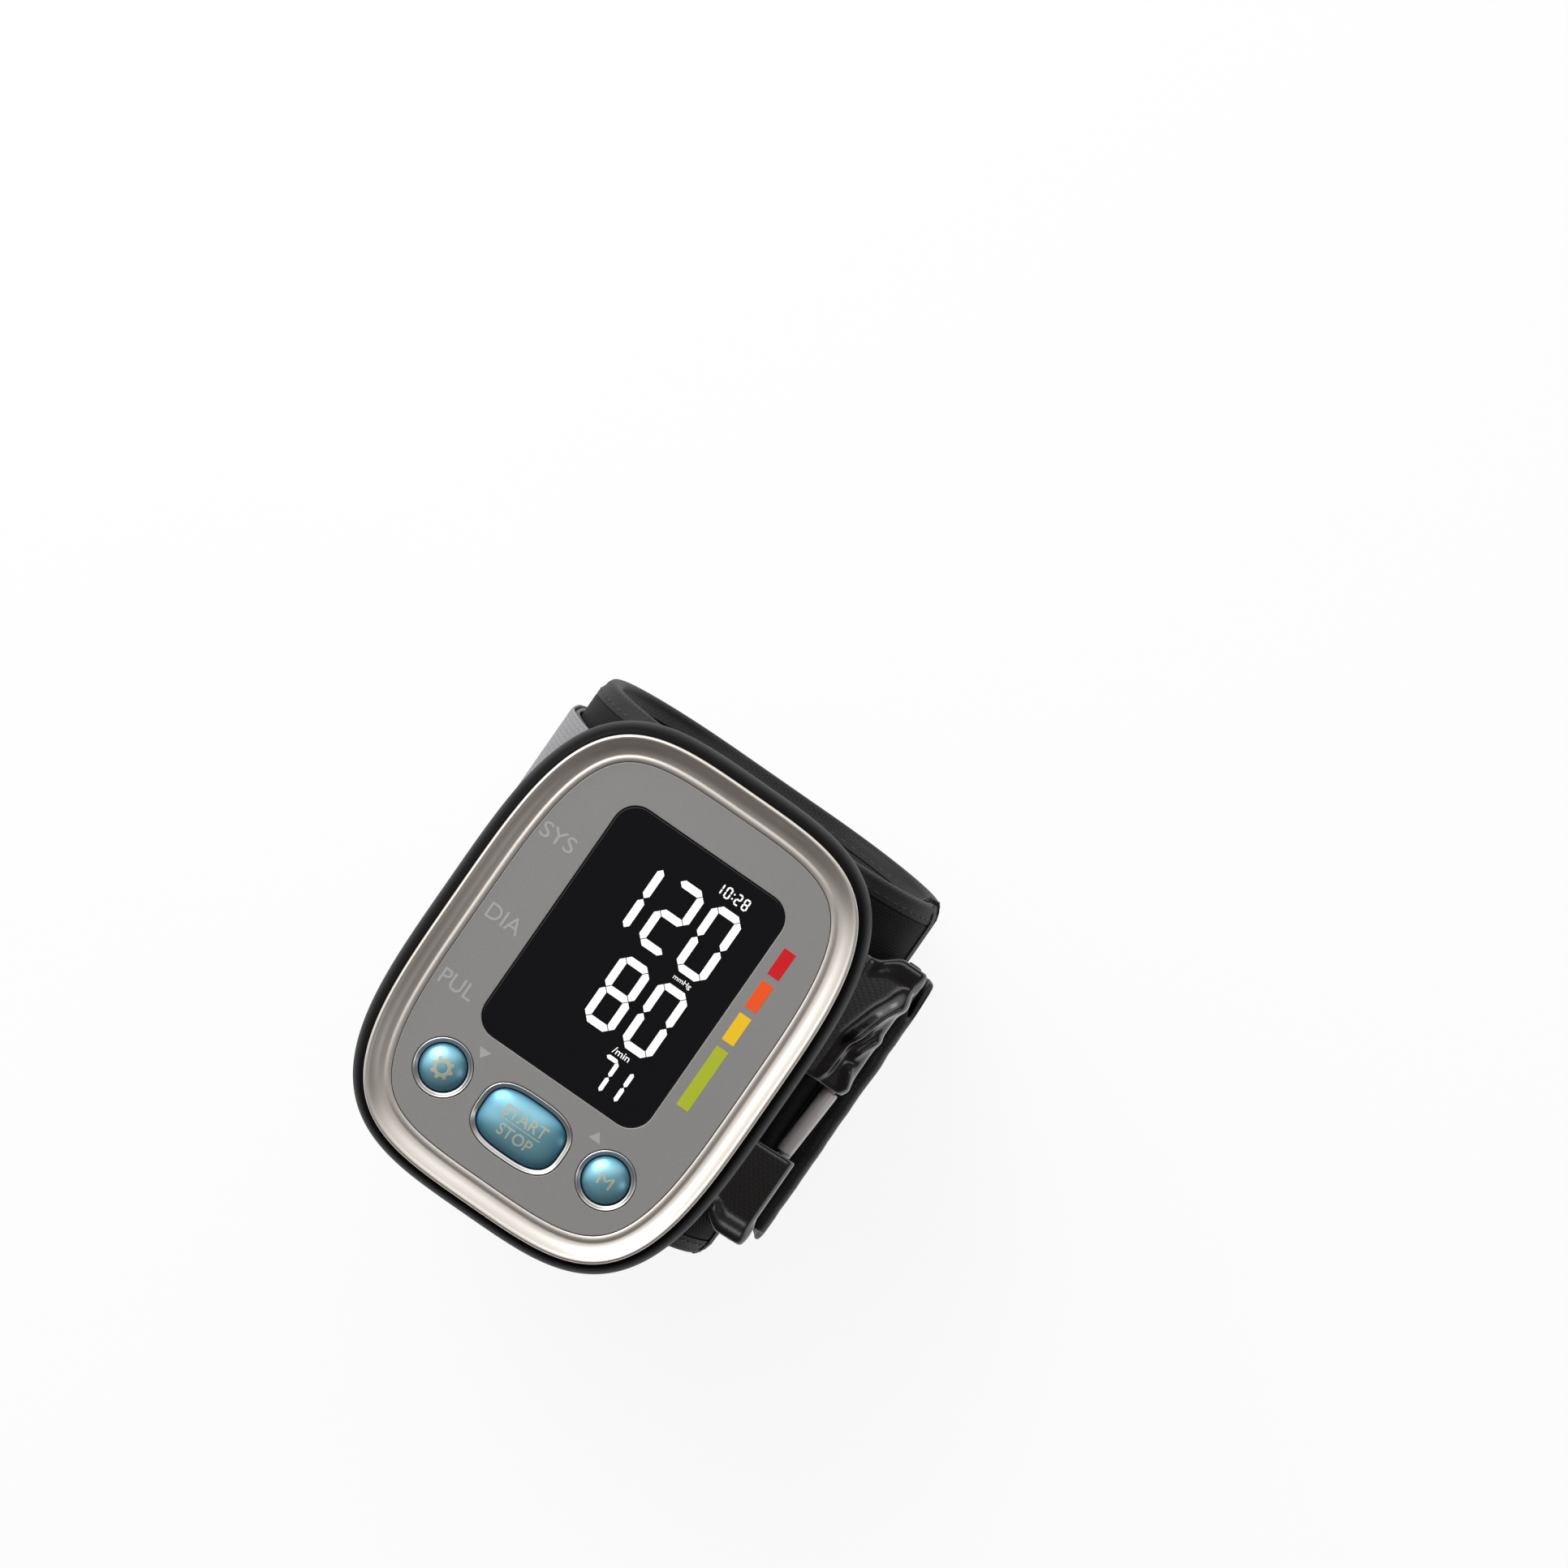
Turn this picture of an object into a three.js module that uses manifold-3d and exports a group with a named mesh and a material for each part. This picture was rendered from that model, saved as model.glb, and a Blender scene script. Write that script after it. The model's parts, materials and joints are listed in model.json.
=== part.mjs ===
// Wrist blood pressure monitor: a case with a screen and three keys, its pump train and two cells,
// and an inflatable wrist cuff that a strap closes through a wire ring.
// Millimetres. +Z points out of the screen, +X to the reader's right, +Y towards the hand.
// The origin lies on the table under the middle of the case, where the strap round the cuff rests.
import * as THREE from 'three';
import { mergeVertices } from 'three/addons/utils/BufferGeometryUtils.js';
import Module from 'manifold-3d';

const wasm = await Module();
wasm.setup();

// Clearances
const SEAT_GAP = 0.3;
const LAYER_GAP = 0.25;
const SOLDER_GAP = 0.1;
const RUNNING_GAP = 0.15;
const FOLD_CLEARANCE = 0.9;

// Cells, their contacts and their bay
const CELL_DIAMETER = 10.5;
const CELL_LENGTH = 43.7;
const CELL_NUB_LENGTH = 0.8;
const CELL_NUB_RADIUS = 1.9;
const CELL_SPACING = 0.7;
const CELL_END_INSET = 10.5;
const CELL_CENTRE_X = 0.25;
const BAY_WALL = 1.2;
const CONTACT_THICKNESS = 0.4;
const CONTACT_WIDTH = 6;
const CONTACT_REACH = 3;
const CONTACT_PLATE_RISE = 3.4125;
const CONTACT_PLATE_DROP = 3.15;
const CONTACT_BEND_DROP = 3.9375;
const CONTACT_TIP_DROP = 0.525;
const CONTACT_TIP_RISE = 1.3125;
const COVER_TOP_MARGIN = 1.2;
const COVER_WIDTH_MARGIN = 1.4;

// Case outline, a superellipse, and its walls: the cells lie across the case
const CELL_SIDE_ROOM = 23.3;
const CASE_WIDTH = CELL_LENGTH + CELL_SIDE_ROOM;
const CASE_LENGTH = 87;
const CASE_SQUARENESS = 3.55;
const CASE_WALL = 2;
const CASE_FLOOR = 1.8;
const FLANK_DEPTH = 17.3;
const FLANK_TUCK = 8;
const RIM_WIDTH = 2.3;
const RIM_HEIGHT = 6.5;
const PLATE_THICKNESS = 1.5;

// Face: the bezel ring, the panel and the screen window
const BEZEL_INSET = 2.4;
const BEZEL_LIP_RISE = 1.6;
const BEZEL_LIP_WIDTH = 0.8;
const BEZEL_LIP_ROUND = 0.4;
const BEZEL_SAG = 0.25;
const BEZEL_VALLEY_DROP = 0.25;
const BEZEL_BEAD_WIDTH = 1.2;
const BEZEL_BEAD_RISE = 0.2;
const BEZEL_BEAD_ROUND = 0.3;
const FACE_INSET = 7.1;
const FACE_THICKNESS = 1.2;
const WINDOW_WIDTH = 33;
const WINDOW_LENGTH = 45.2;
const WINDOW_CORNER = 3.3;
const WINDOW_Y = 6.4;
const WINDOW_SINK = 0.1;
const WINDOW_LEDGE = 0.9;

// Keys with their trim rings, and the switches under them
const ROUND_KEY_DIAMETER = 8;
const ROUND_KEY_X = 16.3;
const ROUND_KEY_Y = -25.05;
const START_KEY_WIDTH = 15;
const START_KEY_LENGTH = 9.9;
const START_KEY_SQUARENESS = 3;
const START_KEY_Y = -26;
const KEY_GAP = 0.2;
const KEY_RING_WIDTH = 0.8;
const KEY_RING_PROUD = 0.1;
const KEY_RING_SINK = 0.6;
const KEY_RING_ROUND = 0.2;
const KEY_PROUD = 0.35;
const KEY_DOME = 1.1;
const KEY_LIP = 0.9;
const KEY_LIP_THICKNESS = 1.2;
const KEY_DOME_FLAT = 0.4;
const KEY_STEM_RADIUS = 1.6;
const KEY_TRAVEL = 0.6;
const SWITCH_SIZE = 6;
const SWITCH_HEIGHT = 1.6;
const PLUNGER_RADIUS = 1.2;
const PLUNGER_LENGTH = 1.2;

// Screen stack and circuit board
const BOARD_THICKNESS = 1.2;
const BOARD_END_INSET = 6.5;
const BACKLIGHT_THICKNESS = 1.4;
const BACKLIGHT_MARGIN = 2.6;
const LCD_THICKNESS = 2;
const LCD_MARGIN = 1.4;
const ZEBRA_WIDTH = 1.8;

// Fasteners of the case
const SCREW_HEAD_RADIUS = 1.9;
const SCREW_HEAD_HEIGHT = 1.6;
const SCREW_RADIUS = 1;
const SCREW_LENGTH = 9.5;
const BOSS_RADIUS = 3;
const SCREW_SIDE_INSET = 9.2;
const SCREW_TOP_INSET = 14;
const SCREW_LOW_SIDE_INSET = 16.5;
const SCREW_LOW_END_INSET = 7;

// Pump train
const PUMP_Y = 4;
const MOTOR_RADIUS = 5;
const MOTOR_LENGTH = 16;
const PUMP_JOINT_X = -6;
const HEAD_LENGTH = 14.5;
const HEAD_WIDTH = 15;
const CHAMBER_RADIUS = 4;
const CHAMBER_DEPTH = 6.5;
const DIAPHRAGM_THICKNESS = 1;
const SHAFT_RADIUS = 0.75;
const SHAFT_SEAT = 3.5;
const CRANK_RADIUS = 2.3;
const CRANK_THROW = 0.8;
const CRANK_LENGTH = 3;
const VALVE_RADIUS = 4.4;
const VALVE_LENGTH = 13;
const VALVE_X = -10;
const VALVE_GAP_Y = 13.8;
const VALVE_PLUNGER_RADIUS = 1.4;
const VALVE_PLUNGER_PROUD = 2.2;
const VALVE_TRAVEL = 0.8;
const NIPPLE_RADIUS = 1.8;
const NIPPLE_LENGTH = 2.6;
const TUBE_BORE_RADIUS = 0.9;
const TUBE_LEAD = 4;
const TUBE_SHORT_LEAD = 2;
const TUBE_BEND_LEAD = 3;
const MANIFOLD_X = 17;
const MANIFOLD_GAP_Y = 3.8;
const MANIFOLD_SIZE = [5, 8.4, 8];
const SENSOR_SIZE = [7, 7, 3.6];
const SENSOR_X = -14;
const BUZZER_RADIUS = 4.5;
const BUZZER_HEIGHT = 3;
const BUZZER_X = 11;
const CHIP_SIZE = [10, 10, 1.4];
const CHIP_X = -13;
const CHIP_GAP = 1;

// Wrist opening and the cuff's layers, from the skin outwards
const OPENING_WIDTH = 60.6;
const OPENING_HEIGHT = 45.6;
const OPENING_CORNER = 19.8;
const LOOP_SHIFT = 3;
const CUFF_LEAN = 0.08;
const CUFF_WIDTH = 71.6;
const CUFF_Y = 4.5;
const LINING_THICKNESS = 1;
const BLADDER_THICKNESS = 1.8;
const CURL_THICKNESS = 0.8;
const COVER_THICKNESS = 1.25;
const BLADDER_MARGIN = 4;
const CURL_MARGIN = 2;
const CUFF_END_ANGLE = 12 * Math.PI / 180;
const CUFF_END_DROP = 2;
const POST_RADIUS = 1.6;
const POST_HEAD_RADIUS = 2.1;
const POST_HEAD_HEIGHT = 1.1;
const POST_SPACING = 30.9;
const NOZZLE_RADIUS = 2.2;
const NOZZLE_SIDE_STEP = 3;

// Strap, wire ring and the tabs that hold it
const STRAP_WIDTH = 50;
const STRAP_Y = 2.5;
const STRAP_SLANT = 0.08;
const STRAP_THICKNESS = 1;
const SEW_ANGLE = 30 * Math.PI / 180;
const OUTER_RUN_ANGLE = 20 * Math.PI / 180;
const SETTLE_LENGTH = 2;
const MERGE_ANGLE = 54 * Math.PI / 180;
const TAIL_HINGE_ANGLE = 225 * Math.PI / 180;
const TAIL_END_ANGLE = 145 * Math.PI / 180;
const PANEL_THICKNESS = 0.6;
const PANEL_START_ANGLE = 204 * Math.PI / 180;
const RING_WIRE = 2.2;
const RING_DROP = 8;
const RING_LEAN = 2.35;
const RING_HEIGHT = 6.85;
const RING_SIDE_GAP = 1;
const RING_EYE_RADIUS = 2.3;
const TAB_GAP = 14;
const TAB_GAP_Y = -0.4;
const TAB_SEWN_ANGLE = 55 * Math.PI / 180;
const TAB_LEAVE_ANGLE = 44 * Math.PI / 180;
const TAB_WRAP_ANGLE = 225 * Math.PI / 180;

// Facets
const CASE_FACETS = 48;
const KEY_FACETS = 20;
const RIM_STEPS = 3;
const DOME_STEPS = 3;
const FLANK_STEPS = 5;
const ARC_STEPS = 5;
const ROD_FACETS = 12;
const WIRE_FACETS = 12;
const TUBE_FACETS = 6;

// Radii of the cuff's layers about the corner centres of the wrist opening
const liningInner = OPENING_CORNER;
const liningOuter = liningInner + LINING_THICKNESS;
const bladderInner = liningOuter + LAYER_GAP;
const bladderOuter = bladderInner + BLADDER_THICKNESS;
const curlInner = bladderOuter + LAYER_GAP;
const curlOuter = curlInner + CURL_THICKNESS;
const coverInner = curlOuter + LAYER_GAP;
const coverOuter = coverInner + COVER_THICKNESS;
const strapRadius = coverOuter + LAYER_GAP + STRAP_THICKNESS / 2;

// Corner centres of the wrist opening, seen along the arm
const loopFlat = OPENING_WIDTH / 2 - OPENING_CORNER;
const loopRise = OPENING_HEIGHT / 2 - OPENING_CORNER;
const loopZ = loopRise + strapRadius + STRAP_THICKNESS / 2;
const loopLeft = LOOP_SHIFT - loopFlat;
const loopRight = LOOP_SHIFT + loopFlat;
const loopLow = loopZ - loopRise;
const loopHigh = loopZ + loopRise;
const loopTop = loopHigh + coverOuter;

// Heights of the case's layers, from the saddle on the cuff up to the face
const saddleRadius = coverOuter + SEAT_GAP;
const floorRadius = saddleRadius + CASE_FLOOR;
const floorZ = loopHigh + floorRadius;
const cellZ = floorZ + SEAT_GAP + CELL_DIAMETER / 2;
const boardBottom = cellZ + CELL_DIAMETER / 2 + SEAT_GAP;
const boardTop = boardBottom + BOARD_THICKNESS;
const partingZ = boardTop + SEAT_GAP;
const housingBottom = partingZ + SEAT_GAP;
const backlightTop = boardTop + SOLDER_GAP + BACKLIGHT_THICKNESS;
const lcdBottom = backlightTop + SEAT_GAP;
const lcdTop = lcdBottom + LCD_THICKNESS;
const plateBottom = lcdTop + SEAT_GAP;
const plateTop = plateBottom + PLATE_THICKNESS;
const faceBottom = plateTop + SEAT_GAP;
const faceTop = faceBottom + FACE_THICKNESS;
const plateInset = FACE_INSET - KEY_GAP;
const rimTop = housingBottom + RIM_HEIGHT;
const bayTop = boardBottom - SEAT_GAP;

const caseHalfX = CASE_WIDTH / 2;
const caseHalfY = CASE_LENGTH / 2;

// Ring wire: the pin held by the tabs, and the lower bar that the strap folds over
const foldRadius = RING_WIRE / 2 + FOLD_CLEARANCE + STRAP_THICKNESS / 2;
const ringLowX = loopRight + strapRadius + foldRadius;
const ringLowZ = loopZ + RING_HEIGHT;
const pinX = ringLowX - RING_LEAN;
const pinZ = ringLowZ + RING_DROP;
const ringY = STRAP_Y + CUFF_LEAN * (loopTop - (pinZ + ringLowZ) / 2);

// Solid modelling helpers

function bareGeometry(geometry) {
  const bare = geometry.index ? geometry.toNonIndexed() : geometry.clone();
  bare.deleteAttribute('normal');
  bare.deleteAttribute('uv');
  return mergeVertices(bare, 1e-4);
}

function solidOf(geometry) {
  const bare = bareGeometry(geometry);
  const vertProperties = new Float32Array(bare.attributes.position.array);
  const triVerts = new Uint32Array(bare.index.array);
  return new wasm.Manifold(new wasm.Mesh({ numProp: 3, vertProperties, triVerts }));
}

function geometryOf(solid) {
  const mesh = solid.getMesh();
  const geometry = new THREE.BufferGeometry();
  geometry.setAttribute('position', new THREE.BufferAttribute(new Float32Array(mesh.vertProperties), 3));
  geometry.setIndex(new THREE.BufferAttribute(new Uint32Array(mesh.triVerts), 1));
  geometry.computeVertexNormals();
  return geometry;
}

const joined = (first, ...others) =>
  geometryOf(others.reduce((sum, other) => sum.add(solidOf(other)), solidOf(first)));
const cut = (first, ...others) =>
  geometryOf(others.reduce((rest, other) => rest.subtract(solidOf(other)), solidOf(first)));
const common = (first, second) => geometryOf(solidOf(first).intersect(solidOf(second)));

function block(x0, x1, y0, y1, z0, z1) {
  const geometry = new THREE.BoxGeometry(x1 - x0, y1 - y0, z1 - z0);
  return geometry.translate((x0 + x1) / 2, (y0 + y1) / 2, (z0 + z1) / 2);
}

function rod(radius, from, to, facets = ROD_FACETS) {
  const start = new THREE.Vector3(...from);
  const along = new THREE.Vector3(...to).sub(start);
  const geometry = new THREE.CylinderGeometry(radius, radius, along.length(), facets);
  const turn = new THREE.Quaternion().setFromUnitVectors(
    new THREE.Vector3(0, 1, 0), along.clone().normalize());
  geometry.applyQuaternion(turn);
  return geometry.translate(...start.addScaledVector(along, 0.5).toArray());
}

// A solid of revolution about Z from a profile of [radius, height] points
function turned(profile, facets = ROD_FACETS) {
  const points = profile.map(([radius, height]) => new THREE.Vector2(radius, height));
  return new THREE.LatheGeometry(points, facets).rotateX(Math.PI / 2);
}

// Points of a superellipse moved inwards along its normals by an inset
function outline(halfX, halfY, squareness, inset, facets) {
  const points = [];
  for (let i = 0; i < facets; i += 1) {
    const angle = 2 * Math.PI * i / facets;
    const cosine = Math.cos(angle);
    const sine = Math.sin(angle);
    const x = halfX * Math.sign(cosine) * Math.abs(cosine) ** (2 / squareness);
    const y = halfY * Math.sign(sine) * Math.abs(sine) ** (2 / squareness);
    const normal = new THREE.Vector2(
      Math.sign(x) * Math.abs(x / halfX) ** (squareness - 1) / halfX,
      Math.sign(y) * Math.abs(y / halfY) ** (squareness - 1) / halfY).normalize();
    points.push(new THREE.Vector2(x, y).addScaledVector(normal, -inset));
  }
  return points;
}

const caseOutline = (inset) => outline(caseHalfX, caseHalfY, CASE_SQUARENESS, inset, CASE_FACETS);

// A skin over rings of equal length: capped at both ends, or closed round into a ring
function skin(rings, closed) {
  const count = rings[0].length;
  const positions = rings.flat().flatMap((point) => point.toArray());
  const index = [];
  const last = closed ? rings.length : rings.length - 1;
  for (let i = 0; i < last; i += 1) {
    const low = i * count;
    const high = ((i + 1) % rings.length) * count;
    for (let j = 0; j < count; j += 1) {
      const next = (j + 1) % count;
      index.push(low + j, low + next, high + next, low + j, high + next, high + j);
    }
  }
  if (!closed) {
    const top = (rings.length - 1) * count;
    for (const [first, ring, flip] of [[0, rings[0], true], [top, rings.at(-1), false]]) {
      const middle = positions.length / 3;
      const centre = ring.reduce((sum, point) => sum.add(point), new THREE.Vector3());
      positions.push(...centre.divideScalar(count).toArray());
      for (let j = 0; j < count; j += 1) {
        const pair = [first + j, first + (j + 1) % count];
        index.push(middle, ...(flip ? pair.reverse() : pair));
      }
    }
  }
  const geometry = new THREE.BufferGeometry();
  geometry.setAttribute('position', new THREE.Float32BufferAttribute(positions, 3));
  geometry.setIndex(index);
  geometry.computeVertexNormals();
  return geometry;
}

const atHeight = (points, z) => points.map((point) => new THREE.Vector3(point.x, point.y, z));

// A shell or ring that follows the case outline, from a profile of [inset, height] points
const alongCase = (profile, closed = false) =>
  skin(profile.map(([inset, z]) => atHeight(caseOutline(inset), z)), closed);

function slab(points, z0, z1) {
  const shape = new THREE.Shape(points);
  const geometry = new THREE.ExtrudeGeometry(shape, { depth: z1 - z0, bevelEnabled: false });
  return geometry.translate(0, 0, z0);
}

function roundedRectangle(width, length, corner, y) {
  const x = width / 2 - corner;
  const rise = length / 2 - corner;
  const shape = new THREE.Shape();
  shape.absarc(x, y + rise, corner, 0, Math.PI / 2, false);
  shape.absarc(-x, y + rise, corner, Math.PI / 2, Math.PI, false);
  shape.absarc(-x, y - rise, corner, Math.PI, 1.5 * Math.PI, false);
  shape.absarc(x, y - rise, corner, 1.5 * Math.PI, 2 * Math.PI, false);
  return shape.getPoints(2);
}

// A section drawn in X and Z, drawn out along Y
function alongArm(shape, y0, y1) {
  const options = { depth: y1 - y0, bevelEnabled: false, curveSegments: ARC_STEPS };
  return new THREE.ExtrudeGeometry(shape, options).rotateX(Math.PI / 2).translate(0, y1, 0);
}

// The cuff leans: what lies lower is moved towards the hand
function leaned(geometry) {
  const shear = new THREE.Matrix4().makeShear(0, 0, 0, 0, 0, -CUFF_LEAN);
  return geometry.translate(0, 0, -loopTop).applyMatrix4(shear).translate(0, 0, loopTop);
}

// A band of even thickness along a line of points
function ribbon(line, thickness) {
  const points = line.filter((point, i) => i === 0 || point.distanceTo(line[i - 1]) > 1e-3);
  const side = (offset) => points.map((point, i) => {
    const before = points[Math.max(i - 1, 0)];
    const after = points[Math.min(i + 1, points.length - 1)];
    const first = point.clone().sub(before).normalize();
    const second = after.clone().sub(point).normalize();
    const along = first.clone().add(second).normalize();
    const stretch = i === 0 || i === points.length - 1 ? 1 : 1 / Math.sqrt((1 + first.dot(second)) / 2);
    return new THREE.Vector2(point.x - along.y * offset * stretch, point.y + along.x * offset * stretch);
  });
  return new THREE.Shape([...side(-thickness / 2), ...side(thickness / 2).reverse()]);
}

// A soft air tube with its bore along a smooth curve
function airTube(points) {
  const section = new THREE.Shape();
  section.absarc(0, 0, NIPPLE_RADIUS, 0, 2 * Math.PI, false);
  const bore = new THREE.Path();
  bore.absarc(0, 0, TUBE_BORE_RADIUS, 0, 2 * Math.PI, true);
  section.holes.push(bore);
  const extrudePath = new THREE.CatmullRomCurve3(points.map((point) => new THREE.Vector3(...point)));
  const steps = points.length * 2;
  return new THREE.ExtrudeGeometry(section, { extrudePath, steps, curveSegments: TUBE_FACETS / 2 });
}

const finish = (color, roughness, metalness = 0) =>
  new THREE.MeshStandardMaterial({ color, roughness, metalness });

function add(group, name, geometry, material) {
  const mesh = new THREE.Mesh(geometry, material);
  mesh.name = name;
  group.add(mesh);
  return mesh;
}

// Finishes
const blackPlastic = () => finish(0x222224, 0.55);
const satinSilver = () => finish(0xb9bab8, 0.3, 0.9);
const greyFace = () => finish(0x86868a, 0.5);
const pearlBlue = () => finish(0x7fbfd6, 0.25);
const bareSteel = () => finish(0xc4c4c2, 0.3, 1);
const whitePlastic = () => finish(0xe4e2da, 0.5);
const silicone = () => finish(0xd8d4c8, 0.6);
const blackFabric = () => finish(0x1b1b1e, 0.85);

const model = new THREE.Group();

// Case shells

const cases = new THREE.Group();
model.add(cases);

const roundKeys = [
  { name: 'settings', x: -ROUND_KEY_X, y: ROUND_KEY_Y },
  { name: 'memory', x: ROUND_KEY_X, y: ROUND_KEY_Y },
].map((key) => ({
  ...key, halfX: ROUND_KEY_DIAMETER / 2, halfY: ROUND_KEY_DIAMETER / 2, squareness: 2,
}));
const startKey = {
  name: 'start_stop',
  x: 0,
  y: START_KEY_Y,
  halfX: START_KEY_WIDTH / 2,
  halfY: START_KEY_LENGTH / 2,
  squareness: START_KEY_SQUARENESS,
};
const keys = [...roundKeys, startKey];
const keyOutline = (key, outset) => outline(key.halfX, key.halfY, key.squareness, -outset, KEY_FACETS);
const keyHole = (key, outset, z0, z1) =>
  slab(keyOutline(key, outset), z0, z1).translate(key.x, key.y, 0);

const screwPlaces = [
  [-caseHalfX + SCREW_SIDE_INSET, caseHalfY - SCREW_TOP_INSET],
  [caseHalfX - SCREW_SIDE_INSET, caseHalfY - SCREW_TOP_INSET],
  [-caseHalfX + SCREW_LOW_SIDE_INSET, -caseHalfY + SCREW_LOW_END_INSET],
  [caseHalfX - SCREW_LOW_SIDE_INSET, -caseHalfY + SCREW_LOW_END_INSET],
];
const screwSeatZ = floorZ + SEAT_GAP;
const bossSplitZ = cellZ;

const windowOutline = (growth) => roundedRectangle(
  WINDOW_WIDTH + growth, WINDOW_LENGTH + growth, WINDOW_CORNER, WINDOW_Y);

// Height of the sloping shoulder that carries the bezel
const shoulderZ = (inset) =>
  rimTop + (plateTop - rimTop) * (inset - RIM_WIDTH) / (plateInset - RIM_WIDTH);

function frontHousing() {
  const rim = [];
  for (let i = 0; i <= RIM_STEPS; i += 1) {
    const angle = Math.PI / 2 * i / RIM_STEPS;
    rim.push([RIM_WIDTH * (1 - Math.cos(angle)), housingBottom + RIM_HEIGHT * Math.sin(angle)]);
  }
  const shell = alongCase([...rim, [plateInset, plateTop]]);
  const hollow = alongCase([
    [CASE_WALL, housingBottom - 1],
    [CASE_WALL, rimTop - CASE_WALL],
    [plateInset + CASE_WALL / 2, plateBottom],
  ]);
  const opening = slab(windowOutline(-2 * WINDOW_LEDGE), plateBottom - 1, plateTop + 1);
  const holes = keys.map((key) => keyHole(key, KEY_GAP, plateBottom - 1, plateTop + 1));
  const bosses = screwPlaces.map(([x, y]) => common(
    rod(BOSS_RADIUS, [x, y, housingBottom - BOSS_RADIUS], [x, y, plateTop]), shell));
  const posts = screwPlaces.map(([x, y]) => rod(
    BOSS_RADIUS - CASE_WALL / 2, [x, y, bossSplitZ + SEAT_GAP], [x, y, housingBottom + 1]));
  const pilots = screwPlaces.map(([x, y]) => rod(
    SCREW_RADIUS + RUNNING_GAP, [x, y, bossSplitZ - 1], [x, y, housingBottom + 1]));
  return cut(joined(cut(shell, hollow, opening, ...holes), ...bosses, ...posts), ...pilots);
}

// The loop's outline grown to a radius, as a section through the arm
function loopSection(radius) {
  const shape = new THREE.Shape();
  shape.absarc(loopRight, loopHigh, radius, 0, Math.PI / 2, false);
  shape.absarc(loopLeft, loopHigh, radius, Math.PI / 2, Math.PI, false);
  shape.absarc(loopLeft, loopLow, radius, Math.PI, 1.5 * Math.PI, false);
  shape.absarc(loopRight, loopLow, radius, 1.5 * Math.PI, 2 * Math.PI, false);
  return shape;
}

const saddle = (radius) => alongArm(loopSection(radius), -caseHalfY - 1, caseHalfY + 1);

function flankProfile(inset, depth) {
  const profile = [];
  for (let i = FLANK_STEPS; i >= 0; i -= 1) {
    const angle = Math.PI / 2 * i / FLANK_STEPS;
    profile.push([inset + FLANK_TUCK * (1 - Math.cos(angle)), partingZ - depth * Math.sin(angle)]);
  }
  return profile;
}

// Bay of the two cells, across the lower end of the case
const cellLowY = -caseHalfY + CELL_END_INSET + CELL_DIAMETER / 2;
const cellHighY = cellLowY + CELL_DIAMETER + CELL_SPACING;
const bayLowY = cellLowY - CELL_DIAMETER / 2 - SEAT_GAP;
const bayHighY = cellHighY + CELL_DIAMETER / 2 + SEAT_GAP;
const cellReach = CELL_LENGTH + CELL_NUB_LENGTH;
const cellLeftX = CELL_CENTRE_X - cellReach / 2;
const cellRightX = CELL_CENTRE_X + cellReach / 2;
const holderX = cellRightX + SEAT_GAP + CONTACT_REACH;

// The battery cover is the part of the left flank in front of the cells
const coverSpan = {
  low: bayLowY - COVER_WIDTH_MARGIN,
  high: bayHighY + COVER_WIDTH_MARGIN,
  bottom: floorZ + SEAT_GAP,
  top: partingZ - COVER_TOP_MARGIN,
};
const coverBlock = (gap) => block(
  -CASE_WIDTH, cellLeftX - CONTACT_REACH / 2,
  coverSpan.low - gap, coverSpan.high + gap, coverSpan.bottom - gap, coverSpan.top + gap);

const rearShell = alongCase(flankProfile(0, FLANK_DEPTH));
const rearHollow = cut(
  alongCase([...flankProfile(CASE_WALL, FLANK_DEPTH - CASE_WALL), [CASE_WALL, partingZ + 1]]),
  saddle(floorRadius));
const rearSkin = cut(rearShell, rearHollow, saddle(saddleRadius));

// Posts of the curl that hold the cuff to the case floor
const postX = LOOP_SHIFT;
const postLowY = bayHighY + BAY_WALL + POST_HEAD_RADIUS + SEAT_GAP;
const postPlaces = [[postX, postLowY], [postX, postLowY + POST_SPACING]];
const nozzleX = postX - NOZZLE_SIDE_STEP;
const nozzleY = PUMP_Y + HEAD_WIDTH / 2 + 2 * NOZZLE_RADIUS + SEAT_GAP;

function rearCase() {
  const ribs = [
    block(cellLeftX - 1, cellRightX, bayHighY, bayHighY + BAY_WALL, floorZ - CASE_FLOOR / 2, bayTop),
    block(cellLeftX - 1, cellRightX, bayLowY - BAY_WALL, bayLowY, floorZ - CASE_FLOOR / 2, bayTop),
    block(holderX, holderX + BAY_WALL, bayLowY, bayHighY, floorZ - CONTACT_REACH * 2, bayTop),
    ...screwPlaces.map(([x, y]) => rod(
      BOSS_RADIUS, [x, y, partingZ - FLANK_DEPTH], [x, y, bossSplitZ])),
  ].map((rib) => cut(common(rib, rearShell), saddle(saddleRadius)));
  const drillings = screwPlaces.flatMap(([x, y]) => [
    rod(SCREW_HEAD_RADIUS + SEAT_GAP, [x, y, partingZ - 2 * FLANK_DEPTH], [x, y, screwSeatZ]),
    rod(SCREW_RADIUS + SEAT_GAP, [x, y, screwSeatZ - 1], [x, y, bossSplitZ + 1]),
  ]);
  const postHoles = postPlaces.map(([x, y]) => rod(
    POST_RADIUS + SEAT_GAP, [x, y, loopTop - 1], [x, y, floorZ + 1]));
  const nozzleHole = rod(
    NOZZLE_RADIUS + SEAT_GAP, [nozzleX, nozzleY, loopTop - 1], [nozzleX, nozzleY, floorZ + 1]);
  return cut(joined(rearSkin, ...ribs), ...drillings, ...postHoles, nozzleHole, coverBlock(SEAT_GAP));
}

// Shell patch with two inner ribs that carry the bridge contact
const bridgeX = cellLeftX - SEAT_GAP - CONTACT_THICKNESS;

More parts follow.
